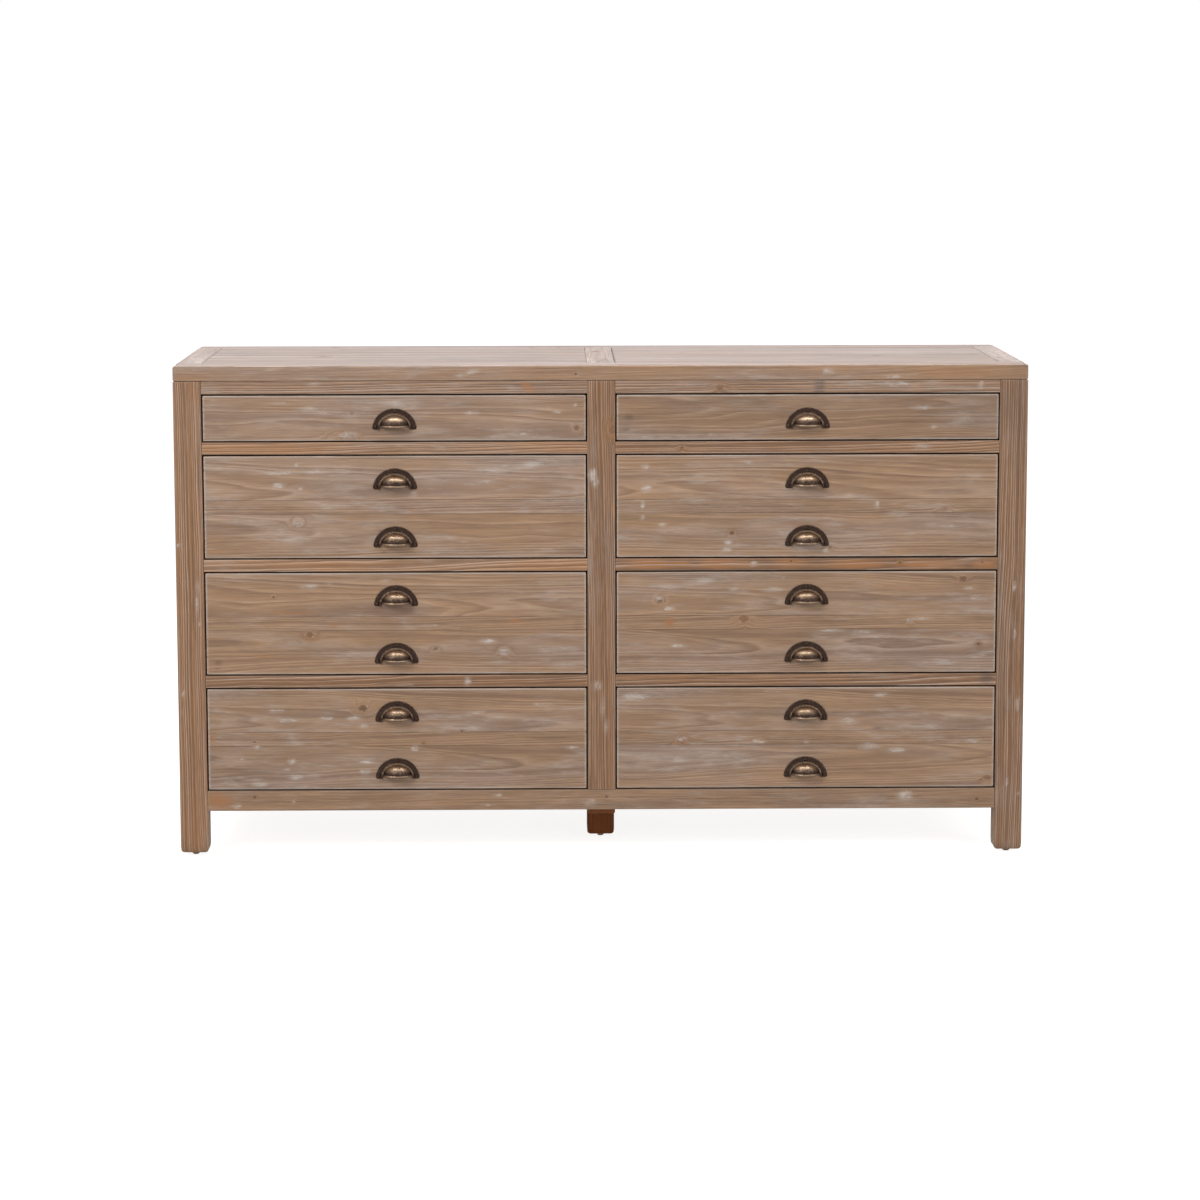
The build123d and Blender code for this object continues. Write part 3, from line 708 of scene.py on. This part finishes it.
front_washes = [
    (-689, 828, 13, 3, 0.5), (-574, 822, 22, 4, 0.6), (-47, 818, 6, 4, 0.7), (662, 819, 19, 5, 0.35),
    (-522, 812, 22, 4, 0.8), (-371, 813, 16, 3, 0.5), (-78, 806, 13, 4, 0.8), (295, 807, 38, 4, 0.35),
    (573, 812, 22, 5, 0.75), (-501, 803, 32, 4, 0.55), (-230, 804, 19, 4, 0.8), (-601, 778, 19, 4, 0.4),
    (594, 777, 8, 4, 0.8), (-452, 764, 19, 8, 0.9), (-136, 765, 15, 4, 0.7), (198, 764, 12, 4, 0.5),
    (-544, 712, 6, 5, 0.8), (-168, 709, 38, 4, 0.5), (262, 715, 13, 4, 0.7), (-576, 698, 48, 4, 0.85),
    (-513, 699, 32, 4, 0.85), (-299, 704, 13, 4, 0.4), (78, 706, 8, 7, 0.9), (-576, 674, 15, 6, 0.85),
    (-204, 681, 26, 5, 0.6), (-650, 663, 22, 7, 0.35), (-537, 669, 4, 5, 0.7), (-487, 662, 16, 7, 0.35),
    (-147, 672, 29, 6, 0.45), (81, 668, 11, 8, 0.95), (-336, 659, 8, 9, 0.6), (74, 639, 4, 12, 0.85),
    (493, 638, 6, 13, 0.75), (-700, 618, 13, 4, 0.5), (-383, 620, 38, 5, 0.4), (73, 616, 6, 6, 0.8),
    (212, 618, 32, 4, 0.4), (-543, 607, 12, 8, 0.95), (110, 602, 9, 5, 0.95), (623, 601, 11, 4, 0.6),
    (-572, 591, 16, 4, 0.55), (649, 585, 38, 5, 0.4), (-247, 573, 10, 4, 0.6), (228, 570, 9, 6, 0.95),
    (512, 569, 19, 4, 0.35), (225, 557, 10, 5, 0.9), (317, 562, 13, 4, 0.5), (360, 558, 16, 5, 0.75),
    (402, 555, 7, 6, 0.85), (326, 506, 6, 4, 0.7), (-524, 493, 22, 6, 0.8), (-489, 498, 10, 4, 0.5),
    (-387, 503, 11, 5, 0.6), (60, 499, 19, 18, 0.3), (239, 485, 12, 4, 0.8), (307, 484, 22, 6, 0.75),
    (661, 486, 13, 5, 0.6), (-279, 476, 26, 4, 0.35), (103, 469, 10, 5, 0.8), (191, 467, 5, 3, 0.7),
    (672, 468, 16, 6, 0.65), (122, 451, 11, 5, 0.95), (413, 453, 26, 4, 0.45), (-669, 443, 22, 3, 0.5),
    (-574, 440, 26, 4, 0.35), (-311, 421, 29, 4, 0.45), (434, 431, 51, 4, 0.45), (556, 428, 10, 6, 0.75),
    (577, 431, 22, 4, 0.7), (413, 410, 29, 4, 0.75), (472, 407, 26, 4, 0.75), (-204, 392, 18, 6, 0.9),
    (-175, 374, 12, 9, 0.95), (139, 383, 18, 4, 0.85), (501, 371, 13, 4, 0.55), (255, 352, 38, 4, 0.3),
    (-533, 344, 35, 3, 0.4), (60, 291, 29, 9, 0.85), (308, 298, 32, 4, 0.4), (504, 292, 18, 6, 0.7),
    (-106, 277, 22, 4, 0.65), (-587, 267, 19, 4, 0.7), (38, 270, 16, 6, 0.5), (552, 270, 29, 5, 0.4),
    (-498, 253, 19, 4, 0.85), (-447, 253, 16, 6, 0.85), (-223, 263, 18, 4, 0.75), (234, 261, 42, 4, 0.4),
    (-566, 250, 38, 4, 0.75), (-270, 241, 38, 4, 0.4), (-202, 249, 19, 4, 0.5), (-128, 241, 32, 4, 0.4),
    (447, 244, 26, 11, 0.6), (-429, 239, 10, 5, 0.7), (-609, 216, 26, 4, 0.35), (144, 212, 12, 6, 0.8),
    (282, 208, 16, 5, 0.8), (370, 206, 8, 4, 0.8), (670, 207, 18, 4, 0.85), (-622, 200, 8, 5, 0.95),
    (-337, 197, 7, 7, 0.9), (-54, 197, 18, 5, 0.6), (484, 198, 22, 7, 0.9), (532, 191, 19, 6, 0.85),
    (-647, 179, 4, 4, 0.8), (-559, 174, 10, 6, 0.95), (-422, 172, 18, 4, 0.9), (139, 175, 19, 8, 0.55),
    (-568, 159, 6, 4, 0.7), (-552, 145, 16, 5, 1.0), (-427, 155, 13, 6, 0.85), (-303, 145, 38, 6, 0.3),
    (113, 154, 26, 7, 0.3), (-679, 143, 19, 4, 0.5), (-618, 132, 16, 5, 1.0), (352, 131, 45, 3, 0.4),
    (640, 690, 70, 22, 0.3), (600, 592, 90, 20, 0.3), (655, 150, 60, 18, 0.25)]
front_stains = [
    (-455, 758, 22, 5, 0.7), (254, 681, 64, 14, 0.35), (506, 680, 83, 14, 0.3), (-341, 630, 8, 9, 0.6),
    (614, 630, 8, 8, 0.7), (-666, 599, 32, 11, 0.3), (-34, 575, 70, 40, 0.3), (75, 571, 26, 11, 0.4),
    (-688, 557, 38, 4, 0.5), (-668, 478, 38, 22, 0.3), (-553, 444, 58, 5, 0.55), (-480, 423, 11, 7, 0.6),
    (-156, 429, 18, 7, 0.6), (86, 432, 38, 7, 0.25), (123, 426, 10, 11, 0.75), (256, 432, 9, 6, 0.75),
    (-601, 419, 6, 6, 0.6), (-512, 397, 38, 9, 0.45), (-607, 366, 45, 4, 0.5), (-355, 231, 64, 3, 0.3),
    (65, 218, 29, 9, 0.35), (-704, 216, 10, 14, 0.6), (144, 208, 16, 6, 0.7), (219, 215, 64, 4, 0.5),
    (277, 211, 29, 5, 0.5), (573, 813, 8, 5, -0.8), (49, 795, 10, 8, -0.6), (44, 775, 11, 6, -0.6),
    (-26, 630, 60, 60, -0.3), (-394, 593, 13, 4, -0.6), (-24, 560, 70, 24, -0.35), (-389, 555, 10, 4, -0.6),
    (-43, 420, 13, 18, -0.4), (-689, 355, 10, 7, -0.6), (-690, 344, 8, 5, -0.5), (502, 231, 13, 5, -0.7),
    (54, 165, 16, 22, -0.3), (-679, 143, 26, 4, -0.4), (-652, 138, 16, 4, -0.5), (-594, 141, 19, 3, -0.4)]
front_cracks = [
    (-705, -299, 648.3), (-121, -28, 648.3), (-210, -28, 623.3), (33, 191, 648.3), (554, 709, 648.3),
    (28, 709, 623.3), (-627, -459, 437.8), (-269, -28, 437.8), (-709, -564, 412.8), (-101, -28, 412.8),
    (-530, -440, 227.3), (-709, -609, 202.3), (28, 155, 437.8), (667, 709, 412.8), (28, 139, 412.8),
    (33, 81, 227.3), (601, 696, 227.3), (29, 45, 202.3), (192, 320, 202.3)]
front_stains += [((low_x + high_x) / 2, level, (high_x - low_x) / 2, crack_half_height, crack_strength)
                 for low_x, high_x, level in front_cracks]
front_tones = {("left", 1): (0.03, -0.15, 0.25), ("right", 1): (-0.13, 0.0, 0.0),
               ("left", 2): (0.05, -0.25, 0.3), ("right", 2): (0.03, 0.2, 0.1),
               ("left", 3): (0.0, 0.25, 0.0), ("right", 3): (0.0, 0.1, 0.1),
               ("left", 4): (-0.03, 0.1, 0.2), ("right", 4): (-0.04, 0.1, 0.1)}
lower_tones = {("left", 2): (0.0, 0.6, -0.3), ("right", 4): (0.1, -0.1, 0.0)}
strip_tone = (0.02, 0.3, 0.0)
upper_tone = (0.03, 0.05, 0.0)
deep_piths = ((18, 48), (45, 18), (-22, 64))
front_rings = (1.0, 0.85, 1.0)
for name, side in both_sides:
    width = on_side(side, drawer_sides)
    for row, (bottom, top) in drawer_levels.items():
        seam = (bottom + top) / 2
        strip = (seam - strip_height / 2, seam + strip_height / 2)
        cuts = (((bottom, strip[0]), (1,)), (strip, (-1, 1)), ((strip[1], top), (-1,)))
        piths = deep_piths
        if row == 1:
            cuts = (((bottom, top), ()),)
            piths = ((24 * side, 58),)
        changes = (lower_tones.get((name, row), (0.0, 0.0, 0.0)), strip_tone, upper_tone)
        glue_lines = [(sum(width) / 2, levels[0], *glue_line) for levels, _ in cuts[1:]]
        boards = [board(width, (front, front + front_thickness), levels, along=0, across=2, seams=seams,
                        pith=piths[number], rings=front_rings[number],
                        tone=np.add(front_tones[name, row], changes[number]),
                        seed=400 + 10 * row + side + number,
                        knots=front_knots, washes=front_washes, stains_and_shadows=front_stains + glue_lines,
                        step=(7.0, 3.5), wear=0.4, painted_gap_shade=0.55)
                  for number, (levels, seams) in enumerate(cuts)]
        joinery(f"{name}_drawer_{row}_front", boards, front_pine, body=f"{name}_drawer_{row}")

# Drawer boxes. Two sides are housed in the front, a back is let into the sides, and a thin bottom slides into
# grooves under the back. They are planed pine with no finish.
side_ends = (front + 12.0, 200.2)
side_thickness = 12.0
side_drop = 3.5
box_sides = (28.0, 709.0)
back_ends = (178.2, 190.2)
back_drop = 6.0
back_lift = 16.3
back_housing = 3.7
groove = 4.7
groove_levels = (10.0, 16.0)
groove_front = 15.3
planed = {"rounds": 0.8, "step": (18.0, 9.0)}
for name, side in both_sides:
    outside = on_side(side, box_sides)
    inside = (outside[0] + side_thickness, outside[1] - side_thickness)
    for row, (bottom, top) in drawer_levels.items():
        seed = 500 + 10 * row + side
        side_levels = (bottom, top - side_drop)
        box = [board((outside[0], inside[0]), side_ends, side_levels, along=1, across=2, pith=(20, 60),
                     seed=seed, **planed),
               board((inside[1], outside[1]), side_ends, side_levels, along=1, across=2, face=1,
                     pith=(-20, 55), seed=seed + 1, **planed),
               board((inside[0] - back_housing, inside[1] + back_housing), back_ends,
                     (bottom + back_lift, side_levels[1] - back_drop), along=0, across=2, face=1,
                     pith=(10, 70), seed=seed + 2, **planed),
               board((inside[0] - groove, inside[1] + groove), (front + groove_front, back_ends[1]),
                     np.add(bottom, groove_levels), along=0, across=1, face=1, rounds=0.5, step=(26.0, 16.0),
                     pith=(60, 120), seed=seed + 3)]
        joinery(f"{name}_drawer_{row}_box", box, plain_pine, f"{name}_drawer_{row}")

# Cup pulls. A pressed bronze cup with a rolled lip stands on an arched flange, with a raised step where the
# two meet. Handling has rubbed the cup and the lip bright and left the flange dark. The same colour also
# holds painted highlights on the cup, the lip and the step, and a painted dark reflection low on the cup.
column_middle = 368.5
pull_width = 79.0
pull_height = 37.5
pull_drop = 1.5
cup_base = 5.0
cup_half_width = 26.5
cup_rise = 20.5
cup_reach = 22.2
cup_wall = 1.6
lip_roll = 2.2
lip_bulge = 0.8
lip_inset = 0.7
lip_front_inset = 0.1
# The lip is rubbed bright by hands and also carries a painted highlight.
lip_wear_and_sheen = 0.62
hollow_rub = 0.05
under_cup = 0.9
under_crown = 0.5
foot_height = 4.0
foot_round = 3.4
foot_turn = 0.1


def swept(sections, wear_and_sheen):
    """A closed skin through closed loops of points, capped at its two ends."""
    count = len(sections[0])
    faces = []
    for station in range(len(sections) - 1):
        for corner in range(count):
            a = station * count + corner
            b = station * count + (corner + 1) % count
            faces.append((a, b, b + count, a + count))
    last = (len(sections) - 1) * count
    faces.append(tuple(range(count))[::-1])
    faces.append(tuple(range(last, last + count)))
    return np.concatenate(sections), faces, np.concatenate(wear_and_sheen)


def cup():
    """The cup, as loops from its crown down the outside, round the lip and up the inside."""
    heights = np.radians([84, 77, 69, 60, 51, 42, 33, 25, 18, 12, 7, 3])
    # From the crown down: wear with a painted highlight on the upper cup, then a painted dark reflection low
    # on it.
    wear_and_sheen_by_height = [0.8, 0.9, 1.0, 1.0, 1.0, 0.85, 0.6, 0.36, 0.18, 0.08, 0.0, 0.05]
    lip = np.radians([75, 40, 0, -40, -80, -120, -155])
    lip_top = cup_base + lip_roll
    outer_rise = cup_rise - lip_roll
    inner_rise = outer_rise - cup_wall
    loop = [(cup_half_width * math.cos(h), cup_reach * math.cos(h), lip_top + outer_rise * math.sin(h))
            for h in heights]
    loop += [(cup_half_width - lip_inset + lip_bulge * math.cos(a),
              cup_reach - lip_front_inset + lip_bulge * math.cos(a),
              cup_base + lip_roll / 2 * (1 + math.sin(a))) for a in lip]
    loop += [((cup_half_width - cup_wall) * math.cos(h), (cup_reach - cup_wall) * math.cos(h),
              lip_top + inner_rise * math.sin(h)) for h in heights[::-1]]
    loop = np.array(loop)
    wear_and_sheen = np.array(wear_and_sheen_by_height + [lip_wear_and_sheen] * len(lip) + [hollow_rub] * len(heights))
    sections = []
    wear_and_sheen_loops = []
    for turn in np.linspace(0, math.pi, 49):
        sections.append(loop * (math.cos(turn), math.sin(turn), 1))
        # Painted highlight down both sides of the cup and its lip.
        side_glint = 0.8 * math.exp(-(math.sin(turn) / 0.16) ** 2)
        wear_and_sheen_loops.append(np.where(wear_and_sheen > 0.06, np.maximum(wear_and_sheen, side_glint), wear_and_sheen))
    return swept(sections, wear_and_sheen_loops)


def flange():
    """The arched flange, as sections across it from one foot over the crown to the other."""
    profile = [(0.0, 0.0), (0.0, 1.1), (0.03, 1.7), (0.09, 2.0), (0.16, 1.9), (0.22, 1.6), (0.3, 1.5),
               (0.52, 1.5), (0.58, 1.7), (0.62, 2.6), (0.66, 3.3), (0.72, 3.7), (0.82, 3.9), (0.95, 4.0),
               (1.0, 3.4), (1.0, 0.0)]
    # Wear and a painted highlight: pale on the outer bead, brightest on the raised step beside the cup.
    shine = np.array([0, 0.1, 0.2, 0.16, 0.05, 0, 0, 0, 0, 0.04, 0.1, 0.2, 0.4, 0.6, 0.4, 0])
    first_turns = np.array([-0.001, 0.004, 0.012, 0.025, 0.045, 0.07])
    turns = [first_turns, np.linspace(foot_turn, math.pi - foot_turn, 45), math.pi - first_turns[::-1]]
    sections = []
    wear_and_sheen = []
    for turn in np.concatenate(turns):
        low = max(0.0, min(turn, math.pi - turn))
        outer = np.array([pull_width / 2 * math.cos(turn), pull_height * math.sin(low)])
        inner = np.array([(cup_half_width - under_cup) * math.cos(turn),
                          cup_base * min(1, low / foot_turn) + (cup_rise - under_crown) * math.sin(low)])
        foot = max(0.0, 1 - pull_height * low / foot_height)
        drawn_in = foot_round * (1 - math.sqrt(max(0.0, 1 - foot ** 2)))
        outer[0] -= math.copysign(drawn_in, outer[0])
        inner[0] += math.copysign(0.8 * drawn_in, inner[0])
        places = [outer + (inner - outer) * share for share, _ in profile]
        sections.append(np.array([(x, out, z) for (x, z), (_, out) in zip(places, profile)]))
        wear_and_sheen.append(shine * np.clip((inner[1] - cup_base) / 5, 0.15, 1))
    return swept(sections, wear_and_sheen)


def aged_bronze(name, dark, bright):
    """Bronze that has browned, lighter where hands have rubbed the browning off and where highlights are
    painted in.
    """
    material = bpy.data.materials.new(name)
    material.use_nodes = True
    tree = material.node_tree
    shader = tree.nodes["Principled BSDF"].inputs
    place = node(tree, "TexCoord").outputs["Object"]
    spots = mottle(place, (260.0, 260.0, 260.0), 4.0, 0.6)
    scratch = mottle(place, (1500.0, 1500.0, 240.0), 3.0, 0.6)
    wear_and_sheen_amount = rise(swayed(painted(tree, "wear_and_sheen"), spots, 0.9), 0.0, 1.15)
    dents = node(tree, "Bump", {"Height": plus(times(scratch, 0.3), spots, 0.7), "Strength": 0.35,
                                "Distance": 0.0005})
    tree.links.new(blend(wear_and_sheen_amount, dark, bright), shader["Base Color"])
    tree.links.new(plus(rise(wear_and_sheen_amount, 0.0, 1.0, 0.42, 0.25), scratch, 0.14), shader["Roughness"])
    tree.links.new(dents.outputs[0], shader["Normal"])
    shader["Metallic"].default_value = 1.0
    return material


def metalwork(name, node_name, shapes, material, body):
    """Shapes of points, faces and their wear and painted sheen, as one smooth metal piece that stands for a
    node.
    """
    points = np.concatenate([shape[0] for shape in shapes])
    faces = []
    start = 0
    for shape in shapes:
        faces += [tuple(corner + start for corner in face) for face in shape[1]]
        start += len(shape[0])
    mesh = bpy.data.meshes.new(name)
    mesh.from_pydata((points / 1000).tolist(), [], faces)
    mesh.shade_smooth()
    values = np.concatenate([shape[2] for shape in shapes]).astype(np.float32)
    mesh.attributes.new("wear_and_sheen", "FLOAT", "POINT").data.foreach_set("value", values)
    mesh.materials.append(material)
    stand_in(mesh, node_name, body)


def hung(shape, x, z):
    """A shape modelled as right, out from the drawer and up, set on the drawer face."""
    points, faces, wear_and_sheen = shape
    return points * (1, -1, 1) + (x, front, z), [face[::-1] for face in faces], wear_and_sheen


bronze = aged_bronze("aged_bronze", dark=(0.036, 0.022, 0.017, 1), bright=(0.4, 0.28, 0.19, 1))
pull_places = {}
for row, (bottom, top) in drawer_levels.items():
    seam = (bottom + top) / 2
    middles = [seam]
    if row > 1:
        middles = [(seam + strip_height / 2 + top) / 2, (bottom + seam - strip_height / 2) / 2]
    pull_places[row] = [middle_z - pull_drop - pull_height / 2 for middle_z in middles]
for name, side in both_sides:
    for row, levels in pull_places.items():
        shapes = [hung(shape, side * column_middle, z) for z in levels for shape in (flange(), cup())]
        metalwork(f"{name}_drawer_{row}_pulls_bronze", f"{name}_drawer_{row}_pulls", shapes, bronze,
                  f"{name}_drawer_{row}")

# Pull screws. Three slotted screws with low domed heads hold each flange, one at the crown and one at
# each foot. They are turned from the same bronze, and have browned with it.
screw_inset = 5.0
head_radius = 2.6
head_height = 1.4
head_edge = 0.3
dome_radius = 2.65
dome_rings = (2.5, 2.25, 1.9, 1.5, 1.1, 0.75, 0.45, 0.2)
slot_half_width = 0.42
slot_depth = 0.55
shank_radius = 1.3
shank_end = -12.0
flange_face = 2.0


def turned(profile, corners, wear_and_sheen):
    """A closed turned shape from (radius, height) pairs that begin and end on its axis."""
    points = [(0.0, 0.0, profile[0][1])]
    faces = []
    for radius, height in profile[1:-1]:
        for corner in range(corners):
            angle = 2 * math.pi * corner / corners
            points.append((radius * math.cos(angle), radius * math.sin(angle), height))
    points.append((0.0, 0.0, profile[-1][1]))
    last = len(points) - 1
    for corner in range(corners):
        beside = (corner + 1) % corners
        faces.append((0, 1 + beside, 1 + corner))
        for ring in range(len(profile) - 3):
            a = 1 + ring * corners
            faces.append((a + corner, a + beside, a + corners + beside, a + corners + corner))
        faces.append((last, last - corners + corner, last - corners + beside))
    return np.array(points), faces, np.full(len(points), wear_and_sheen)


def pull_screw(x, z, turn):
    """One screw: its turned head and shank, with the slot pressed into the head."""
    profile = [(0, shank_end), (0.25, shank_end + 0.4), (shank_radius, shank_end + 2),
               (shank_radius, flange_face), (head_radius, flange_face),
               (head_radius, flange_face + head_edge)]
    for radius in dome_rings:
        bulge = math.sqrt(1 - (radius / dome_radius) ** 2)
        profile.append((radius, flange_face + head_edge + (head_height - head_edge) * bulge))
    profile.append((0, flange_face + head_height))
    points, faces, wear_and_sheen = turned(profile, 32, 0.12)
    across = points[:, 0] * math.sin(turn) - points[:, 1] * math.cos(turn)
    slot = (points[:, 2] > flange_face + 0.5) & (np.abs(across) < slot_half_width)
    points[slot, 2] -= slot_depth
    wear_and_sheen[slot] = 0.0
    return np.stack([x + points[:, 0], front - points[:, 2], z + points[:, 1]], 1), faces, wear_and_sheen


screw_places = ((0, pull_height - screw_inset), (screw_inset - pull_width / 2, screw_inset),
                (pull_width / 2 - screw_inset, screw_inset))
for name, side in both_sides:
    for row, levels in pull_places.items():
        screws = [pull_screw(side * column_middle + x, z + up, 0.6 + 1.7 * place + 0.9 * number + row)
                  for number, z in enumerate(levels) for place, (x, up) in enumerate(screw_places)]
        metalwork(f"{name}_drawer_{row}_screws_bronze", f"{name}_drawer_{row}_pull_screws", screws, bronze,
                  f"{name}_drawer_{row}")

# Glides. A pressed steel button with a nail is driven into the end of each leg and of the centre foot.
# The plating is dull, and browned by the stain and wax that the legs were given after the glides were on.
glide_profile = [(0, 0), (3.5, 0), (4.6, 0.25), (5.3, 0.8), (6.4, 2.0), (7.8, 3.8), (8.7, 5.2), (9.0, 5.8),
                 (8.8, 6.0), (1.5, 6.0), (1.5, 20.0), (0.4, 22.0), (0, 22.0)]
glide_places = [(sum(foot_width) / 2, sum(foot_depth) / 2)]
glide_places += [(side * (half_width - leg_size / 2), y) for side in (-1, 1)
                 for y in (front + leg_size / 2, rear - leg_size / 2)]
glides = []
for x, y in glide_places:
    points, faces, wear_and_sheen = turned(glide_profile, 32, 0.5)
    glides.append((points + (x, y, 0), faces, wear_and_sheen))
steel = aged_bronze("browned_steel", dark=(0.07, 0.035, 0.018, 1), bright=(0.2, 0.115, 0.065, 1))
metalwork("foot_glides_steel", "foot_glides", glides, steel, "carcass")

# Studio. A pale floor that runs out of sight into a white surround, two large soft lamps in front of the
# chest and three small ones over it. The floor and the surround show white, and the floor keeps the soft
# shadow. Sizes are in metres from here on.
reach = 30.0
floor_greys = ((0.56, 0.56, 0.56, 1), (0.60, 0.60, 0.60, 1))
floor_glow = 0.88
surround_light = 0.42
white = (1, 1, 1, 1)


def seen(tree):
    """One for what the camera sees, straight or by reflection, and nought for light that falls on things."""
    rays = node(tree, "LightPath").outputs
    return most(rays["Is Camera Ray"], rays["Is Glossy Ray"], rays["Is Transmission Ray"])


floor_mesh = bpy.data.meshes.new("studio_floor")
floor_mesh.from_pydata([(-reach, -reach, 0), (reach, -reach, 0), (reach, reach, 0), (-reach, reach, 0)], [],
                       [(0, 1, 2, 3)])
floor = bpy.data.objects.new("studio_floor", floor_mesh)
bpy.context.scene.collection.objects.link(floor)
paper = bpy.data.materials.new("pale_floor")
paper.use_nodes = True
tree = paper.node_tree
cloudy = mottle(node(tree, "TexCoord").outputs["Object"], (1.5, 1.5, 1.5))
surface = node(tree, "BsdfDiffuse", {"Color": blend(cloudy, *floor_greys)})
glow = node(tree, "Emission", {"Color": white, "Strength": times(seen(tree), floor_glow)})
both = node(tree, "AddShader", {0: surface.outputs[0], 1: glow.outputs[0]})
tree.links.new(both.outputs[0], tree.nodes["Material Output"].inputs["Surface"])
floor_mesh.materials.append(paper)

world = bpy.data.worlds.new("studio")
bpy.context.scene.world = world
world.use_nodes = True
tree = world.node_tree
strength = node(tree, "MapRange", {0: seen(tree), 3: surround_light, 4: 1.0}).outputs[0]
tree.links.new(strength, tree.nodes["Background"].inputs["Strength"])
tree.nodes["Background"].inputs["Color"].default_value = white


def soft_lamp(name, place, target, size, power):
    """A square lamp of one size, turned to a target."""
    lamp = bpy.data.lights.new(name, "AREA")
    lamp.shape = "RECTANGLE"
    lamp.size = size
    lamp.size_y = size
    lamp.energy = power
    holder = bpy.data.objects.new(name, lamp)
    bpy.context.scene.collection.objects.link(holder)
    aim = Vector(target) - Vector(place)
    holder.rotation_euler = aim.to_track_quat("-Z", "Y").to_euler()
    holder.location = place


soft_lamp("key_lamp", (-2.6, -3.4, 2.9), (0, -0.2, 0.4), 1.6, 81)
soft_lamp("fill_lamp", (2.9, -3.6, 2.0), (0, -0.2, 0.4), 1.6, 42.5)
for number, x in enumerate((-1.1, 0.0, 1.1)):
    soft_lamp(f"top_lamp_{number + 1}", (x, -0.4, 3.4), (0.3 * x, 0, 0.8), 0.7, 17)

# Camera. It looks a little down on the front from slightly left of the middle, through a long lens that
# keeps the upright edges nearly parallel.
camera_place = (-0.0944, -6.5106, 1.351)
yaw, pitch, roll = (math.radians(angle) for angle in (0.85, 8.03, 0.08))
lens = bpy.data.cameras.new("camera")
lens.lens = 105.78
lens.sensor_width = 36.0
lens.clip_end = 200.0
camera = bpy.data.objects.new("camera", lens)
bpy.context.scene.collection.objects.link(camera)
camera.location = camera_place
camera.rotation_euler = (math.pi / 2 - pitch, roll, -yaw)
bpy.context.scene.camera = camera
bpy.context.scene.view_settings.view_transform = "Standard"
